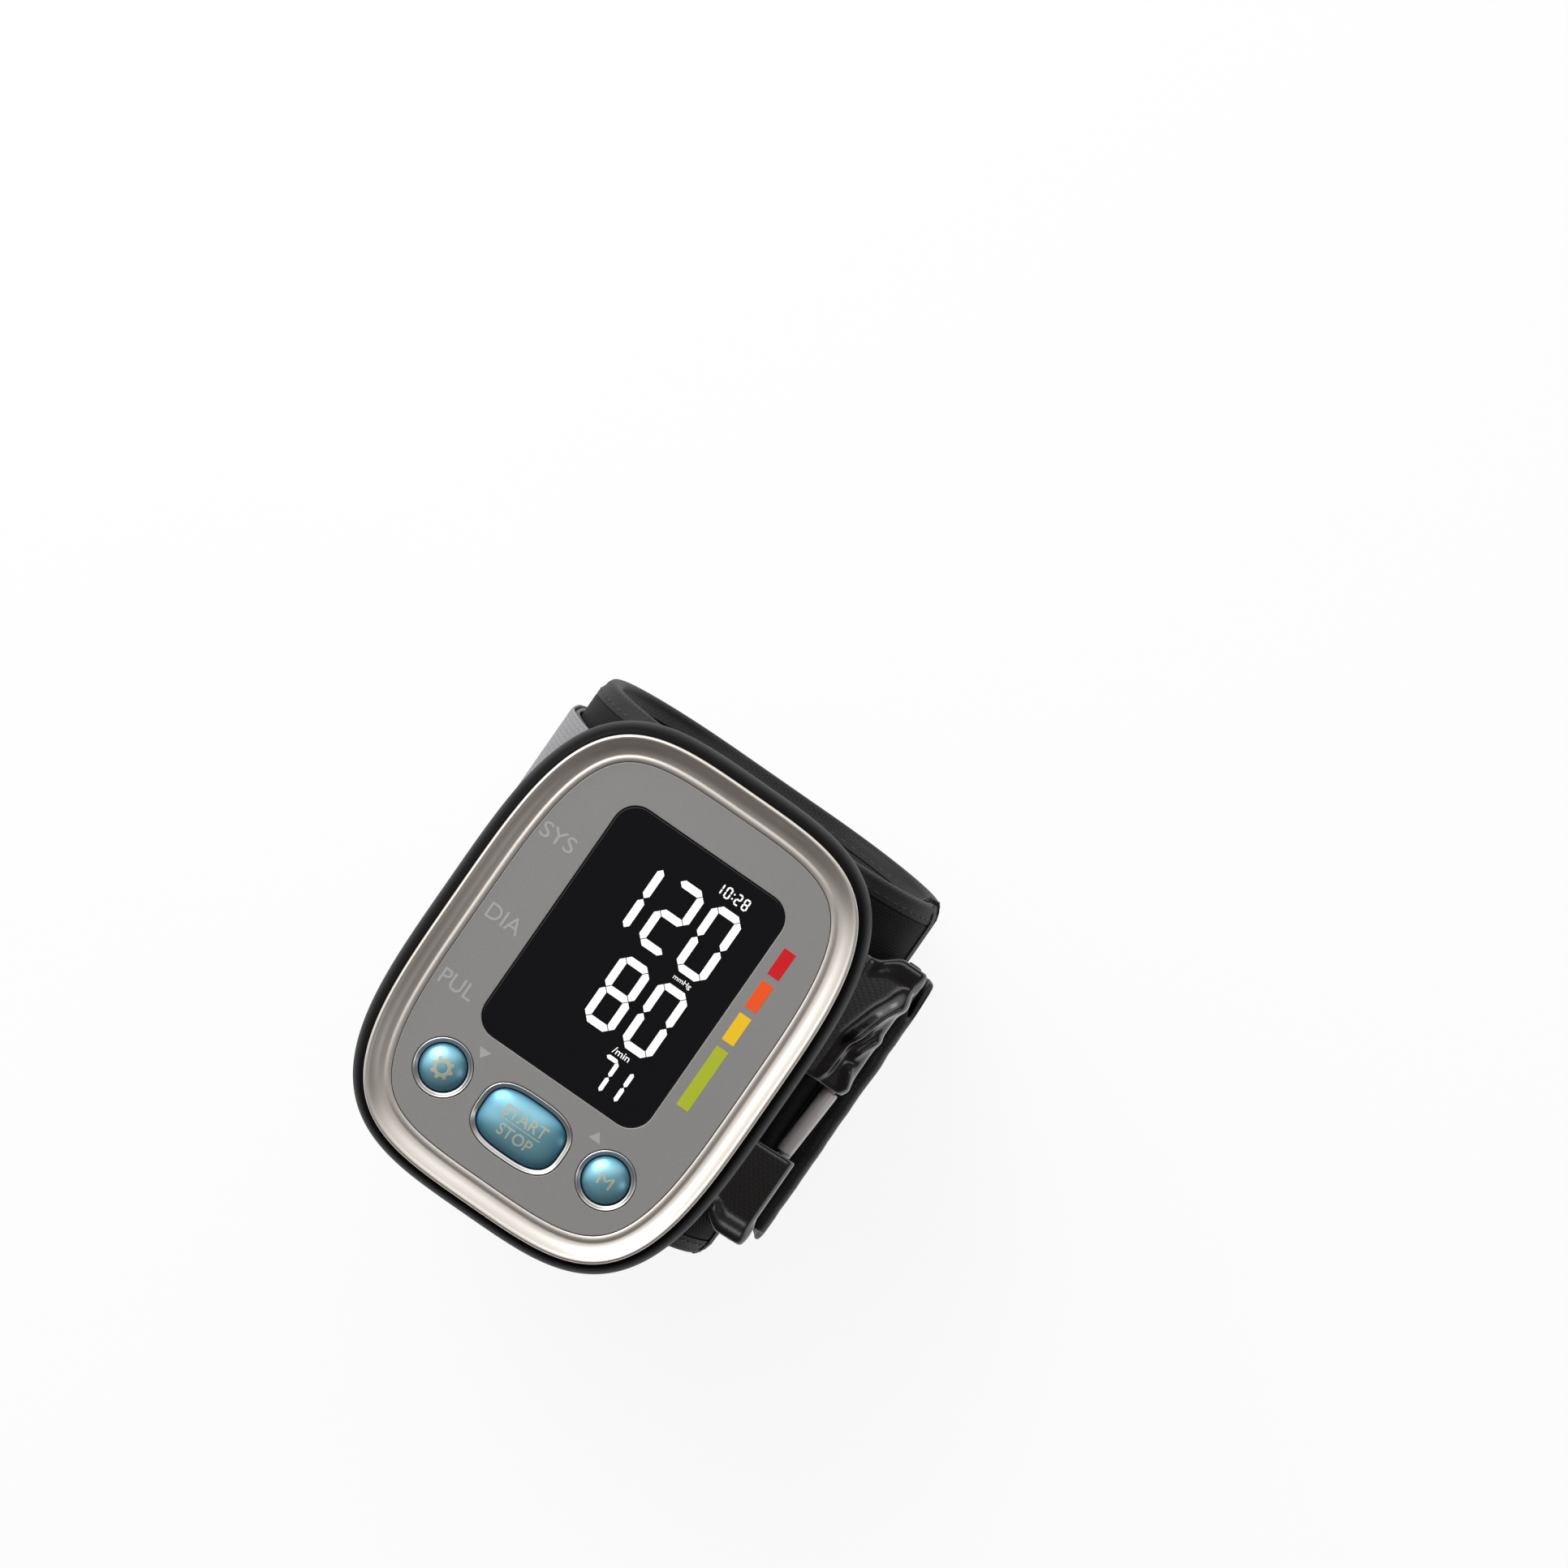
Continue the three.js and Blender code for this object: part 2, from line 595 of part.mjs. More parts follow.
function batteryCover() {
  const patch = common(rearSkin, coverBlock(0));
  const ribs = [cellLowY, cellHighY].map((y) => common(
    block(-CASE_WIDTH, bridgeX - SEAT_GAP, y - BAY_WALL / 2, y + BAY_WALL / 2,
      cellZ - CELL_DIAMETER / 4, cellZ + CELL_DIAMETER / 4),
    rearShell));
  return joined(patch, ...ribs);
}

// A dished ring: a lip outside, a hollow slope down to the face, and a bead beside it
function bezel() {
  const inner = FACE_INSET - LAYER_GAP;
  const lipTop = faceTop + BEZEL_LIP_RISE;
  const slopeTop = [BEZEL_INSET + BEZEL_LIP_WIDTH, lipTop - BEZEL_LIP_ROUND / 2];
  const valley = [inner - BEZEL_BEAD_WIDTH, faceTop - BEZEL_VALLEY_DROP];
  const middle = [(slopeTop[0] + valley[0]) / 2, (slopeTop[1] + valley[1]) / 2 - BEZEL_SAG];
  const beadTop = faceTop + BEZEL_BEAD_RISE;
  return alongCase([
    [BEZEL_INSET, shoulderZ(BEZEL_INSET) + SEAT_GAP],
    [BEZEL_INSET, lipTop - BEZEL_LIP_ROUND],
    [BEZEL_INSET + BEZEL_LIP_ROUND, lipTop],
    slopeTop,
    middle,
    valley,
    [inner - 2 * BEZEL_BEAD_WIDTH / 3, beadTop - BEZEL_BEAD_ROUND / 4],
    [inner - BEZEL_BEAD_WIDTH / 3, beadTop],
    [inner, beadTop - BEZEL_BEAD_ROUND],
    [inner, shoulderZ(inner) + SEAT_GAP],
  ], true);
}

const keyRingOuter = KEY_GAP + KEY_RING_WIDTH;

function facePanel() {
  const window = slab(windowOutline(LAYER_GAP), faceBottom - 1, faceTop + 1);
  const holes = keys.map((key) => keyHole(key, keyRingOuter + RUNNING_GAP, faceBottom - 1, faceTop + 1));
  return cut(slab(caseOutline(FACE_INSET), faceBottom, faceTop), window, ...holes);
}

add(cases, 'front_bezel', bezel(), satinSilver());
add(cases, 'face_panel', facePanel(), greyFace());
add(cases, 'display_window',
  slab(windowOutline(0), faceBottom, faceTop - WINDOW_SINK), finish(0x131316, 0.08));
add(cases, 'front_housing', frontHousing(), blackPlastic());
add(cases, 'rear_case', rearCase(), blackPlastic());
add(cases, 'battery_cover', batteryCover(), blackPlastic());

const screwShape = turned([
  [0, screwSeatZ - SEAT_GAP - SCREW_HEAD_HEIGHT],
  [SCREW_HEAD_RADIUS, screwSeatZ - SEAT_GAP - SCREW_HEAD_HEIGHT],
  [SCREW_HEAD_RADIUS, screwSeatZ - SEAT_GAP],
  [SCREW_RADIUS, screwSeatZ - SEAT_GAP],
  [SCREW_RADIUS, screwSeatZ + SCREW_LENGTH],
  [0, screwSeatZ + SCREW_LENGTH + SCREW_RADIUS / 2],
], WIRE_FACETS);
screwPlaces.forEach(([x, y], i) => {
  add(cases, `case_screw_${i + 1}`, screwShape, bareSteel()).position.set(x, y, 0);
});

// Keys, trim rings and switches

const keyGroup = new THREE.Group();
model.add(keyGroup);

const switchBottom = boardTop + SOLDER_GAP;
const switchTop = switchBottom + SWITCH_HEIGHT;
const plungerTop = switchTop + KEY_TRAVEL + SOLDER_GAP;
const plungerBottom = plungerTop - PLUNGER_LENGTH;
const stemBottom = plungerTop + SOLDER_GAP;
const lipTop = plateBottom - SEAT_GAP;
const lipBottom = lipTop - KEY_LIP_THICKNESS;
const capEdge = faceTop + KEY_PROUD;

function keyCap(key) {
  const ring = (outset, z) => atHeight(keyOutline(key, outset), z);
  const dome = [];
  for (let step = 1; step <= DOME_STEPS; step += 1) {
    const angle = Math.PI / 2 * step / (DOME_STEPS + KEY_DOME_FLAT);
    const points = keyOutline(key, 0).map((point) => point.multiplyScalar(Math.cos(angle)));
    dome.push(atHeight(points, capEdge + KEY_DOME * Math.sin(angle)));
  }
  const cap = skin([
    ring(KEY_LIP, lipBottom), ring(KEY_LIP, lipTop), ring(0, lipTop), ring(0, capEdge), ...dome,
  ], false);
  return joined(cap, rod(KEY_STEM_RADIUS, [0, 0, stemBottom], [0, 0, lipTop]));
}

// The trim ring slopes down to the key, which sits in it as in a well
function keyRing(key) {
  const top = faceTop + KEY_RING_PROUD;
  const profile = [
    [keyRingOuter, faceBottom],
    [keyRingOuter, top - KEY_RING_ROUND],
    [keyRingOuter - KEY_RING_ROUND, top],
    [KEY_GAP, faceTop - KEY_RING_SINK],
    [KEY_GAP, faceBottom],
  ];
  return skin(profile.map(([outset, z]) => atHeight(keyOutline(key, outset), z)), true);
}

const switchBody = cut(
  block(-SWITCH_SIZE / 2, SWITCH_SIZE / 2, -SWITCH_SIZE / 2, SWITCH_SIZE / 2, switchBottom, switchTop),
  rod(PLUNGER_RADIUS + SEAT_GAP, [0, 0, plungerBottom - KEY_TRAVEL - SOLDER_GAP], [0, 0, switchTop + 1]));
const plunger = rod(PLUNGER_RADIUS, [0, 0, plungerBottom], [0, 0, plungerTop]);

keys.forEach((key) => {
  const place = new THREE.Group();
  place.position.set(key.x, key.y, 0);
  keyGroup.add(place);
  add(place, `${key.name}_button`, keyCap(key), pearlBlue());
  add(place, `${key.name}_button_ring`, keyRing(key), satinSilver());
  add(place, `${key.name}_switch`, switchBody, blackPlastic());
  add(place, `${key.name}_plunger`, plunger, whitePlastic());
});

// Screen stack and board

const electronics = new THREE.Group();
model.add(electronics);

const boardHalfX = caseHalfX - SCREW_SIDE_INSET - BOSS_RADIUS - SEAT_GAP;
const boardLowY = -caseHalfY + SCREW_LOW_END_INSET + BOSS_RADIUS + SEAT_GAP;
const boardHighY = caseHalfY - BOARD_END_INSET;
const lcdHalfX = WINDOW_WIDTH / 2 + LCD_MARGIN;
const lcdLowY = WINDOW_Y - WINDOW_LENGTH / 2 - LCD_MARGIN;
const lcdHighY = WINDOW_Y + WINDOW_LENGTH / 2 + LCD_MARGIN;

add(electronics, 'main_board',
  block(-boardHalfX, boardHalfX, boardLowY, boardHighY, boardBottom, boardTop), finish(0x1f5a38, 0.5));
add(electronics, 'backlight_panel', block(
  -lcdHalfX + BACKLIGHT_MARGIN, lcdHalfX - BACKLIGHT_MARGIN, lcdLowY, lcdHighY - BACKLIGHT_MARGIN,
  boardTop + SOLDER_GAP, backlightTop), whitePlastic());
add(electronics, 'lcd_zebra_strip', block(
  -lcdHalfX + BACKLIGHT_MARGIN, lcdHalfX - BACKLIGHT_MARGIN, lcdHighY - ZEBRA_WIDTH, lcdHighY,
  boardTop + SOLDER_GAP, lcdBottom - SOLDER_GAP), finish(0x3a3a3c, 0.8));
add(electronics, 'lcd_panel',
  block(-lcdHalfX, lcdHalfX, lcdLowY, lcdHighY, lcdBottom, lcdTop), finish(0x26282a, 0.1));

// Cells and contacts

const power = new THREE.Group();
model.add(power);

const cellShape = turned([
  [0, -cellReach / 2],
  [CELL_DIAMETER / 2, -cellReach / 2],
  [CELL_DIAMETER / 2, cellReach / 2 - CELL_NUB_LENGTH],
  [CELL_NUB_RADIUS, cellReach / 2 - CELL_NUB_LENGTH],
  [CELL_NUB_RADIUS, cellReach / 2],
  [0, cellReach / 2],
]);
[['battery_1', cellLowY, 1], ['battery_2', cellHighY, -1]].forEach(([name, y, way]) => {
  const cell = add(power, name, cellShape, finish(0x8a8f94, 0.35, 0.6));
  cell.position.set(CELL_CENTRE_X, y, cellZ);
  cell.rotation.y = way * Math.PI / 2;
});

// A bent leaf that presses on the end of one cell
function leafContact(y) {
  const plateX = holderX - SEAT_GAP - CONTACT_THICKNESS / 2;
  const tipX = cellRightX + SEAT_GAP + CONTACT_THICKNESS / 2;
  const line = [
    new THREE.Vector2(plateX, cellZ + CONTACT_PLATE_RISE),
    new THREE.Vector2(plateX, cellZ - CONTACT_PLATE_DROP),
    new THREE.Vector2((plateX + tipX) / 2, cellZ - CONTACT_BEND_DROP),
    new THREE.Vector2(tipX, cellZ - CONTACT_TIP_DROP),
    new THREE.Vector2(tipX + CONTACT_THICKNESS, cellZ + CONTACT_TIP_RISE),
  ];
  return alongArm(ribbon(line, CONTACT_THICKNESS), y - CONTACT_WIDTH / 2, y + CONTACT_WIDTH / 2);
}

add(power, 'battery_contact_positive', leafContact(cellLowY), bareSteel());
add(power, 'battery_contact_negative', leafContact(cellHighY), bareSteel());
add(power, 'battery_bridge_contact', block(
  bridgeX, bridgeX + CONTACT_THICKNESS, cellLowY - CONTACT_WIDTH / 2, cellHighY + CONTACT_WIDTH / 2,
  cellZ - CONTACT_WIDTH / 2, cellZ + CONTACT_WIDTH / 2), bareSteel());

// Pump, valve, sensor and air lines

const air = new THREE.Group();
model.add(air);

const pumpZ = floorZ + SEAT_GAP + MOTOR_RADIUS;
const motorEndX = PUMP_JOINT_X - MOTOR_LENGTH;
const headX = PUMP_JOINT_X + SEAT_GAP;
const headEndX = headX + HEAD_LENGTH;
const crankX = headX + SEAT_GAP;
const pumpAxis = (x) => [x, PUMP_Y, pumpZ];

add(air, 'pump_motor', cut(
  rod(MOTOR_RADIUS, pumpAxis(motorEndX), pumpAxis(PUMP_JOINT_X)),
  rod(SHAFT_RADIUS + SEAT_GAP, pumpAxis(PUMP_JOINT_X - SHAFT_SEAT - SEAT_GAP), pumpAxis(PUMP_JOINT_X + 1))),
bareSteel());
add(air, 'pump_head', joined(
  cut(
    block(headX, headEndX, PUMP_Y - HEAD_WIDTH / 2, PUMP_Y + HEAD_WIDTH / 2,
      pumpZ - MOTOR_RADIUS, pumpZ + MOTOR_RADIUS),
    rod(CHAMBER_RADIUS, pumpAxis(headX - 1), pumpAxis(headX + CHAMBER_DEPTH))),
  rod(NIPPLE_RADIUS, pumpAxis(headEndX - 1), pumpAxis(headEndX + NIPPLE_LENGTH))), whitePlastic());
add(air, 'pump_diaphragm', rod(
  CHAMBER_RADIUS - SEAT_GAP,
  pumpAxis(headX + CHAMBER_DEPTH - SEAT_GAP - DIAPHRAGM_THICKNESS),
  pumpAxis(headX + CHAMBER_DEPTH - SEAT_GAP)), finish(0x2c2c2c, 0.8));
add(air, 'pump_crank', joined(
  rod(SHAFT_RADIUS, pumpAxis(PUMP_JOINT_X - SHAFT_SEAT), pumpAxis(crankX + CRANK_LENGTH)),
  rod(CRANK_RADIUS, pumpAxis(crankX), pumpAxis(crankX + CRANK_LENGTH)).translate(0, 0, -CRANK_THROW)),
bareSteel());

const valveY = PUMP_Y + HEAD_WIDTH / 2 + VALVE_GAP_Y + VALVE_RADIUS;
const valveZ = floorZ + SEAT_GAP + VALVE_RADIUS;
const valveEndX = VALVE_X + VALVE_LENGTH;
const valveAxis = (x) => [x, valveY, valveZ];
const plungerSeat = VALVE_LENGTH / 2;

add(air, 'exhaust_valve', joined(
  cut(
    rod(VALVE_RADIUS, valveAxis(VALVE_X), valveAxis(valveEndX)),
    rod(VALVE_PLUNGER_RADIUS + SEAT_GAP, valveAxis(VALVE_X - 1),
      valveAxis(VALVE_X + plungerSeat + VALVE_TRAVEL))),
  rod(NIPPLE_RADIUS, valveAxis(valveEndX - 1), valveAxis(valveEndX + NIPPLE_LENGTH))), bareSteel());
add(air, 'valve_plunger', rod(
  VALVE_PLUNGER_RADIUS, valveAxis(VALVE_X - VALVE_PLUNGER_PROUD),
  valveAxis(VALVE_X + plungerSeat - SEAT_GAP)), finish(0x9a9a98, 0.4, 0.8));

// Manifold with a nipple for each line
const manifoldLowY = PUMP_Y + HEAD_WIDTH / 2 + MANIFOLD_GAP_Y;
const manifoldHighY = manifoldLowY + MANIFOLD_SIZE[1];
const manifoldLeftX = MANIFOLD_X - MANIFOLD_SIZE[0] / 2;
const manifoldBottom = floorZ + SEAT_GAP;
const manifoldTop = manifoldBottom + MANIFOLD_SIZE[2];
const cuffPortZ = manifoldBottom + NIPPLE_RADIUS + SEAT_GAP;
const sensorPortY = manifoldHighY - NIPPLE_RADIUS - SEAT_GAP;
const sensorPortZ = manifoldTop - NIPPLE_RADIUS - SEAT_GAP;

// A port on the manifold's long or left side
const endNipple = (y, way, z) => rod(
  NIPPLE_RADIUS, [MANIFOLD_X, y - way, z], [MANIFOLD_X, y + way * NIPPLE_LENGTH, z]);
const sideNipple = (y, z) => rod(
  NIPPLE_RADIUS, [manifoldLeftX + 1, y, z], [manifoldLeftX - NIPPLE_LENGTH, y, z]);

add(air, 'air_manifold', joined(
  block(manifoldLeftX, MANIFOLD_X + MANIFOLD_SIZE[0] / 2, manifoldLowY, manifoldHighY,
    manifoldBottom, manifoldTop),
  endNipple(manifoldLowY, -1, pumpZ),
  endNipple(manifoldHighY, 1, valveZ),
  sideNipple(sensorPortY, sensorPortZ),
  sideNipple(nozzleY, cuffPortZ)), whitePlastic());

const sensorTop = boardBottom - SOLDER_GAP;
const sensorRightX = SENSOR_X + SENSOR_SIZE[0] / 2;
const sensorNippleZ = sensorTop - SENSOR_SIZE[2] / 2;
add(air, 'pressure_sensor', joined(
  block(SENSOR_X - SENSOR_SIZE[0] / 2, sensorRightX, sensorPortY - SENSOR_SIZE[1] / 2,
    sensorPortY + SENSOR_SIZE[1] / 2, sensorTop - SENSOR_SIZE[2], sensorTop),
  rod(NIPPLE_RADIUS - RUNNING_GAP, [sensorRightX - 1, sensorPortY, sensorNippleZ],
    [sensorRightX + NIPPLE_LENGTH, sensorPortY, sensorNippleZ])), whitePlastic());

const pumpOutX = headEndX + NIPPLE_LENGTH + SEAT_GAP;
const manifoldInY = manifoldLowY - NIPPLE_LENGTH - SEAT_GAP;
add(air, 'pump_tube', airTube([
  pumpAxis(pumpOutX),
  pumpAxis(pumpOutX + TUBE_SHORT_LEAD),
  [MANIFOLD_X, manifoldInY - TUBE_BEND_LEAD, pumpZ],
  [MANIFOLD_X, manifoldInY, pumpZ],
]), silicone());
const valveOutX = valveEndX + NIPPLE_LENGTH + SEAT_GAP;
const manifoldOutY = manifoldHighY + NIPPLE_LENGTH + SEAT_GAP;
add(air, 'valve_tube', airTube([
  valveAxis(valveOutX),
  valveAxis(valveOutX + TUBE_LEAD),
  [MANIFOLD_X, manifoldOutY + TUBE_SHORT_LEAD, valveZ],
  [MANIFOLD_X, manifoldOutY, valveZ],
]), silicone());
const lineEndX = manifoldLeftX - NIPPLE_LENGTH - SEAT_GAP;
const sensorOutX = sensorRightX + NIPPLE_LENGTH + SEAT_GAP;
add(air, 'sensor_tube', airTube([
  [lineEndX, sensorPortY, sensorPortZ],
  [lineEndX - TUBE_LEAD, sensorPortY, sensorPortZ],
  [sensorOutX + TUBE_LEAD, sensorPortY, sensorNippleZ],
  [sensorOutX, sensorPortY, sensorNippleZ],
]), silicone());

const nozzleEndX = nozzleX + NOZZLE_RADIUS + SEAT_GAP;
const nozzleTop = cuffPortZ + NOZZLE_RADIUS;
const nozzleFoot = loopHigh + bladderOuter - BLADDER_THICKNESS / 2;
add(air, 'cuff_nozzle', joined(
  rod(NOZZLE_RADIUS, [nozzleX, nozzleY, nozzleFoot], [nozzleX, nozzleY, nozzleTop]),
  rod(NIPPLE_RADIUS, [nozzleX, nozzleY, cuffPortZ], [nozzleEndX, nozzleY, cuffPortZ])), whitePlastic());
add(air, 'cuff_tube', airTube([
  [nozzleEndX + SEAT_GAP, nozzleY, cuffPortZ],
  [(nozzleEndX + lineEndX) / 2, nozzleY, cuffPortZ],
  [lineEndX, nozzleY, cuffPortZ],
]), silicone());

add(air, 'buzzer', rod(
  BUZZER_RADIUS, [BUZZER_X, valveY, boardBottom - SOLDER_GAP - BUZZER_HEIGHT],
  [BUZZER_X, valveY, boardBottom - SOLDER_GAP]), blackPlastic());
const chipLowY = sensorPortY + SENSOR_SIZE[1] / 2 + CHIP_GAP;
add(air, 'control_chip', block(
  CHIP_X - CHIP_SIZE[0] / 2, CHIP_X + CHIP_SIZE[0] / 2, chipLowY, chipLowY + CHIP_SIZE[1],
  boardBottom - SOLDER_GAP - CHIP_SIZE[2], boardBottom - SOLDER_GAP), blackPlastic());

// Cuff layers

const cuff = new THREE.Group();
model.add(cuff);

// Open loop from the ring round the arm to the strap's sewn end
function band(inner, outer, margin) {
  const endAngle = CUFF_END_ANGLE + margin / outer;
  const endZ = loopZ - CUFF_END_DROP - margin;
  const shape = new THREE.Shape();
  shape.absarc(loopRight, loopHigh, outer, endAngle, Math.PI / 2, false);
  shape.absarc(loopLeft, loopHigh, outer, Math.PI / 2, Math.PI, false);
  shape.absarc(loopLeft, loopLow, outer, Math.PI, 1.5 * Math.PI, false);
  shape.absarc(loopRight, loopLow, outer, 1.5 * Math.PI, 2 * Math.PI, false);
  shape.lineTo(loopRight + outer, Math.max(endZ, loopLow + SEAT_GAP));
  shape.lineTo(loopRight + inner, Math.max(endZ, loopLow + SEAT_GAP));
  shape.absarc(loopRight, loopLow, inner, 2 * Math.PI, 1.5 * Math.PI, true);
  shape.absarc(loopLeft, loopLow, inner, 1.5 * Math.PI, Math.PI, true);
  shape.absarc(loopLeft, loopHigh, inner, Math.PI, Math.PI / 2, true);
  shape.absarc(loopRight, loopHigh, inner, Math.PI / 2, endAngle, true);
  return leaned(alongArm(shape, CUFF_Y - CUFF_WIDTH / 2 + margin, CUFF_Y + CUFF_WIDTH / 2 - margin));
}

const postBores = postPlaces.map(([x, y]) => rod(
  POST_RADIUS + SEAT_GAP, [x, y, loopHigh + coverInner - 1], [x, y, loopTop + 1]));
const nozzleBore = rod(
  NOZZLE_RADIUS + SEAT_GAP, [nozzleX, nozzleY, nozzleFoot - SEAT_GAP], [nozzleX, nozzleY, loopTop + 1]);
const postFoot = loopHigh + curlInner + CURL_THICKNESS / 2;
const headFoot = floorZ + SEAT_GAP;
const posts = postPlaces.flatMap(([x, y]) => [
  rod(POST_RADIUS, [x, y, postFoot], [x, y, headFoot + POST_HEAD_HEIGHT / 2]),
  rod(POST_HEAD_RADIUS, [x, y, headFoot], [x, y, headFoot + POST_HEAD_HEIGHT]),
]);

add(cuff, 'cuff_lining', band(liningInner, liningOuter, 0), blackFabric());
add(cuff, 'air_bladder',
  cut(band(bladderInner, bladderOuter, BLADDER_MARGIN), nozzleBore), finish(0x3c3c3e, 0.6));
add(cuff, 'cuff_curl',
  joined(cut(band(curlInner, curlOuter, CURL_MARGIN), nozzleBore), ...posts), whitePlastic());
add(cuff, 'cuff_cover', cut(band(coverInner, coverOuter, 0), nozzleBore, ...postBores), blackFabric());

// Strap: sewn to the cuff's end, up through the ring, folded over its lower bar and round the cuff

const hingeHalfGap = SEAT_GAP / 2 / strapRadius;

function strapLine() {
  const innerX = loopRight + strapRadius;
  const outerRadius = strapRadius + STRAP_THICKNESS + LAYER_GAP;
  const onLow = (radius, angle) =>
    new THREE.Vector2(loopRight + radius * Math.cos(angle), loopLow + radius * Math.sin(angle));
  const path = new THREE.Path();
  path.absarc(loopRight, loopLow, strapRadius, -SEW_ANGLE, 0, false);
  path.lineTo(innerX, ringLowZ);
  path.absarc(ringLowX, ringLowZ, foldRadius, Math.PI, 0, true);
  const meet = onLow(outerRadius, -OUTER_RUN_ANGLE);
  const reach = (ringLowZ - meet.y) / 2;
  path.bezierCurveTo(
    ringLowX + foldRadius, ringLowZ - reach,
    meet.x + reach * Math.sin(OUTER_RUN_ANGLE), meet.y + reach * Math.cos(OUTER_RUN_ANGLE),
    meet.x, meet.y);
  const points = path.getPoints(ARC_STEPS + 1);
  const settle = SEW_ANGLE + SETTLE_LENGTH / strapRadius;
  for (let i = 1; i <= ARC_STEPS; i += 1) {
    points.push(onLow(outerRadius, -OUTER_RUN_ANGLE + (OUTER_RUN_ANGLE - settle) * i / ARC_STEPS));
  }
  for (let i = 1; i <= ARC_STEPS; i += 1) {
    const share = i / ARC_STEPS;
    const ease = share * share * (3 - 2 * share);
    points.push(onLow(
      outerRadius + (strapRadius - outerRadius) * ease, -settle + (settle - MERGE_ANGLE) * share));
  }
  const rest = new THREE.Path();
  rest.absarc(loopRight, loopLow, strapRadius, -MERGE_ANGLE, -Math.PI / 2, true);
  rest.absarc(loopLeft, loopLow, strapRadius, 1.5 * Math.PI, TAIL_HINGE_ANGLE + hingeHalfGap, true);
  return [...points, ...rest.getPoints(ARC_STEPS)];
}

// The free end of the strap, up the left side of the cuff
function tailLine(radius, startAngle) {
  const path = new THREE.Path();
  path.absarc(loopLeft, loopLow, radius, startAngle, Math.PI, true);
  path.absarc(loopLeft, loopHigh, radius, Math.PI, TAIL_END_ANGLE, true);
  return path.getPoints(ARC_STEPS);
}

// The strap also winds towards the hand on its way from the ring to its free end
function slanted(geometry) {
  const shear = new THREE.Matrix4().makeShear(-STRAP_SLANT, 0, 0, 0, 0, 0);
  const ringX = loopRight + strapRadius;
  return geometry.translate(-ringX, 0, 0).applyMatrix4(shear).translate(ringX, 0, 0);
}

const strapBand = (line, thickness) => slanted(leaned(
  alongArm(ribbon(line, thickness), STRAP_Y - STRAP_WIDTH / 2, STRAP_Y + STRAP_WIDTH / 2)));
const panelRadius = strapRadius + (STRAP_THICKNESS + PANEL_THICKNESS) / 2 + LAYER_GAP;

add(cuff, 'closure_strap', strapBand(strapLine(), STRAP_THICKNESS), blackFabric());
add(cuff, 'strap_tail', strapBand(
  tailLine(strapRadius, TAIL_HINGE_ANGLE - hingeHalfGap), STRAP_THICKNESS), blackFabric());
add(cuff, 'strap_end_panel',
  strapBand(tailLine(panelRadius, PANEL_START_ANGLE), PANEL_THICKNESS), finish(0xaeb0b2, 0.8));

// Wire ring, its pin and the tabs

const ringInner = STRAP_WIDTH / 2 + RING_SIDE_GAP;
const ringOuter = ringInner + RING_WIRE;
const wire = RING_WIRE / 2;

const acrossRing = (radius, x, reach, z) =>
  rod(radius, [x, ringY - reach, z], [x, ringY + reach, z], WIRE_FACETS);

function wireRing() {
  const side = (way) => {
    const inside = ringY + way * ringInner;
    const outside = ringY + way * ringOuter;
    const middle = (inside + outside) / 2;
    return [
      rod(RING_EYE_RADIUS, [pinX, inside, pinZ], [pinX, outside, pinZ]),
      rod(wire, [pinX, middle, pinZ], [ringLowX, middle, ringLowZ], WIRE_FACETS),
    ];
  };
  const bar = acrossRing(wire, ringLowX, ringOuter, ringLowZ);
  const bore = acrossRing(wire + RUNNING_GAP, pinX, 2 * ringOuter, pinZ);
  return cut(joined(bar, ...side(1), ...side(-1)), bore);
}

// A tab sewn on the cover, which runs out and round the pin
function tabLine() {
  const radius = coverOuter + LAYER_GAP + STRAP_THICKNESS / 2;
  const wrap = wire + SEAT_GAP + STRAP_THICKNESS / 2;
  const leave = new THREE.Vector2(
    loopRight + radius * Math.cos(TAB_LEAVE_ANGLE), loopHigh + radius * Math.sin(TAB_LEAVE_ANGLE));
  const pin = new THREE.Vector2(pinX, pinZ);
  const reach = leave.distanceTo(pin);
  const turn = leave.clone().sub(pin).angle() - Math.acos(wrap / reach);
  const path = new THREE.Path();
  path.absarc(loopRight, loopHigh, radius, TAB_SEWN_ANGLE, TAB_LEAVE_ANGLE, true);
  path.absarc(pinX, pinZ, wrap, turn, turn - TAB_WRAP_ANGLE, true);
  return path.getPoints(ARC_STEPS);
}

const tab = (y0, y1) => alongArm(ribbon(tabLine(), STRAP_THICKNESS), y0, y1);

add(cuff, 'd_ring', wireRing(), finish(0x1d1d1f, 0.35, 0.6));
add(cuff, 'ring_pin', acrossRing(wire, pinX, ringOuter + wire, pinZ), bareSteel());
add(cuff, 'ring_tab_upper', tab(TAB_GAP_Y + TAB_GAP / 2, ringY + ringInner - SEAT_GAP), blackFabric());
add(cuff, 'ring_tab_lower', tab(ringY - ringInner + SEAT_GAP, TAB_GAP_Y - TAB_GAP / 2), blackFabric());

export default model;
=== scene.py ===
"""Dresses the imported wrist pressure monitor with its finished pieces, finishes and stage."""
import json
import math

import bmesh
import bpy
from mathutils import Matrix, Vector, noise

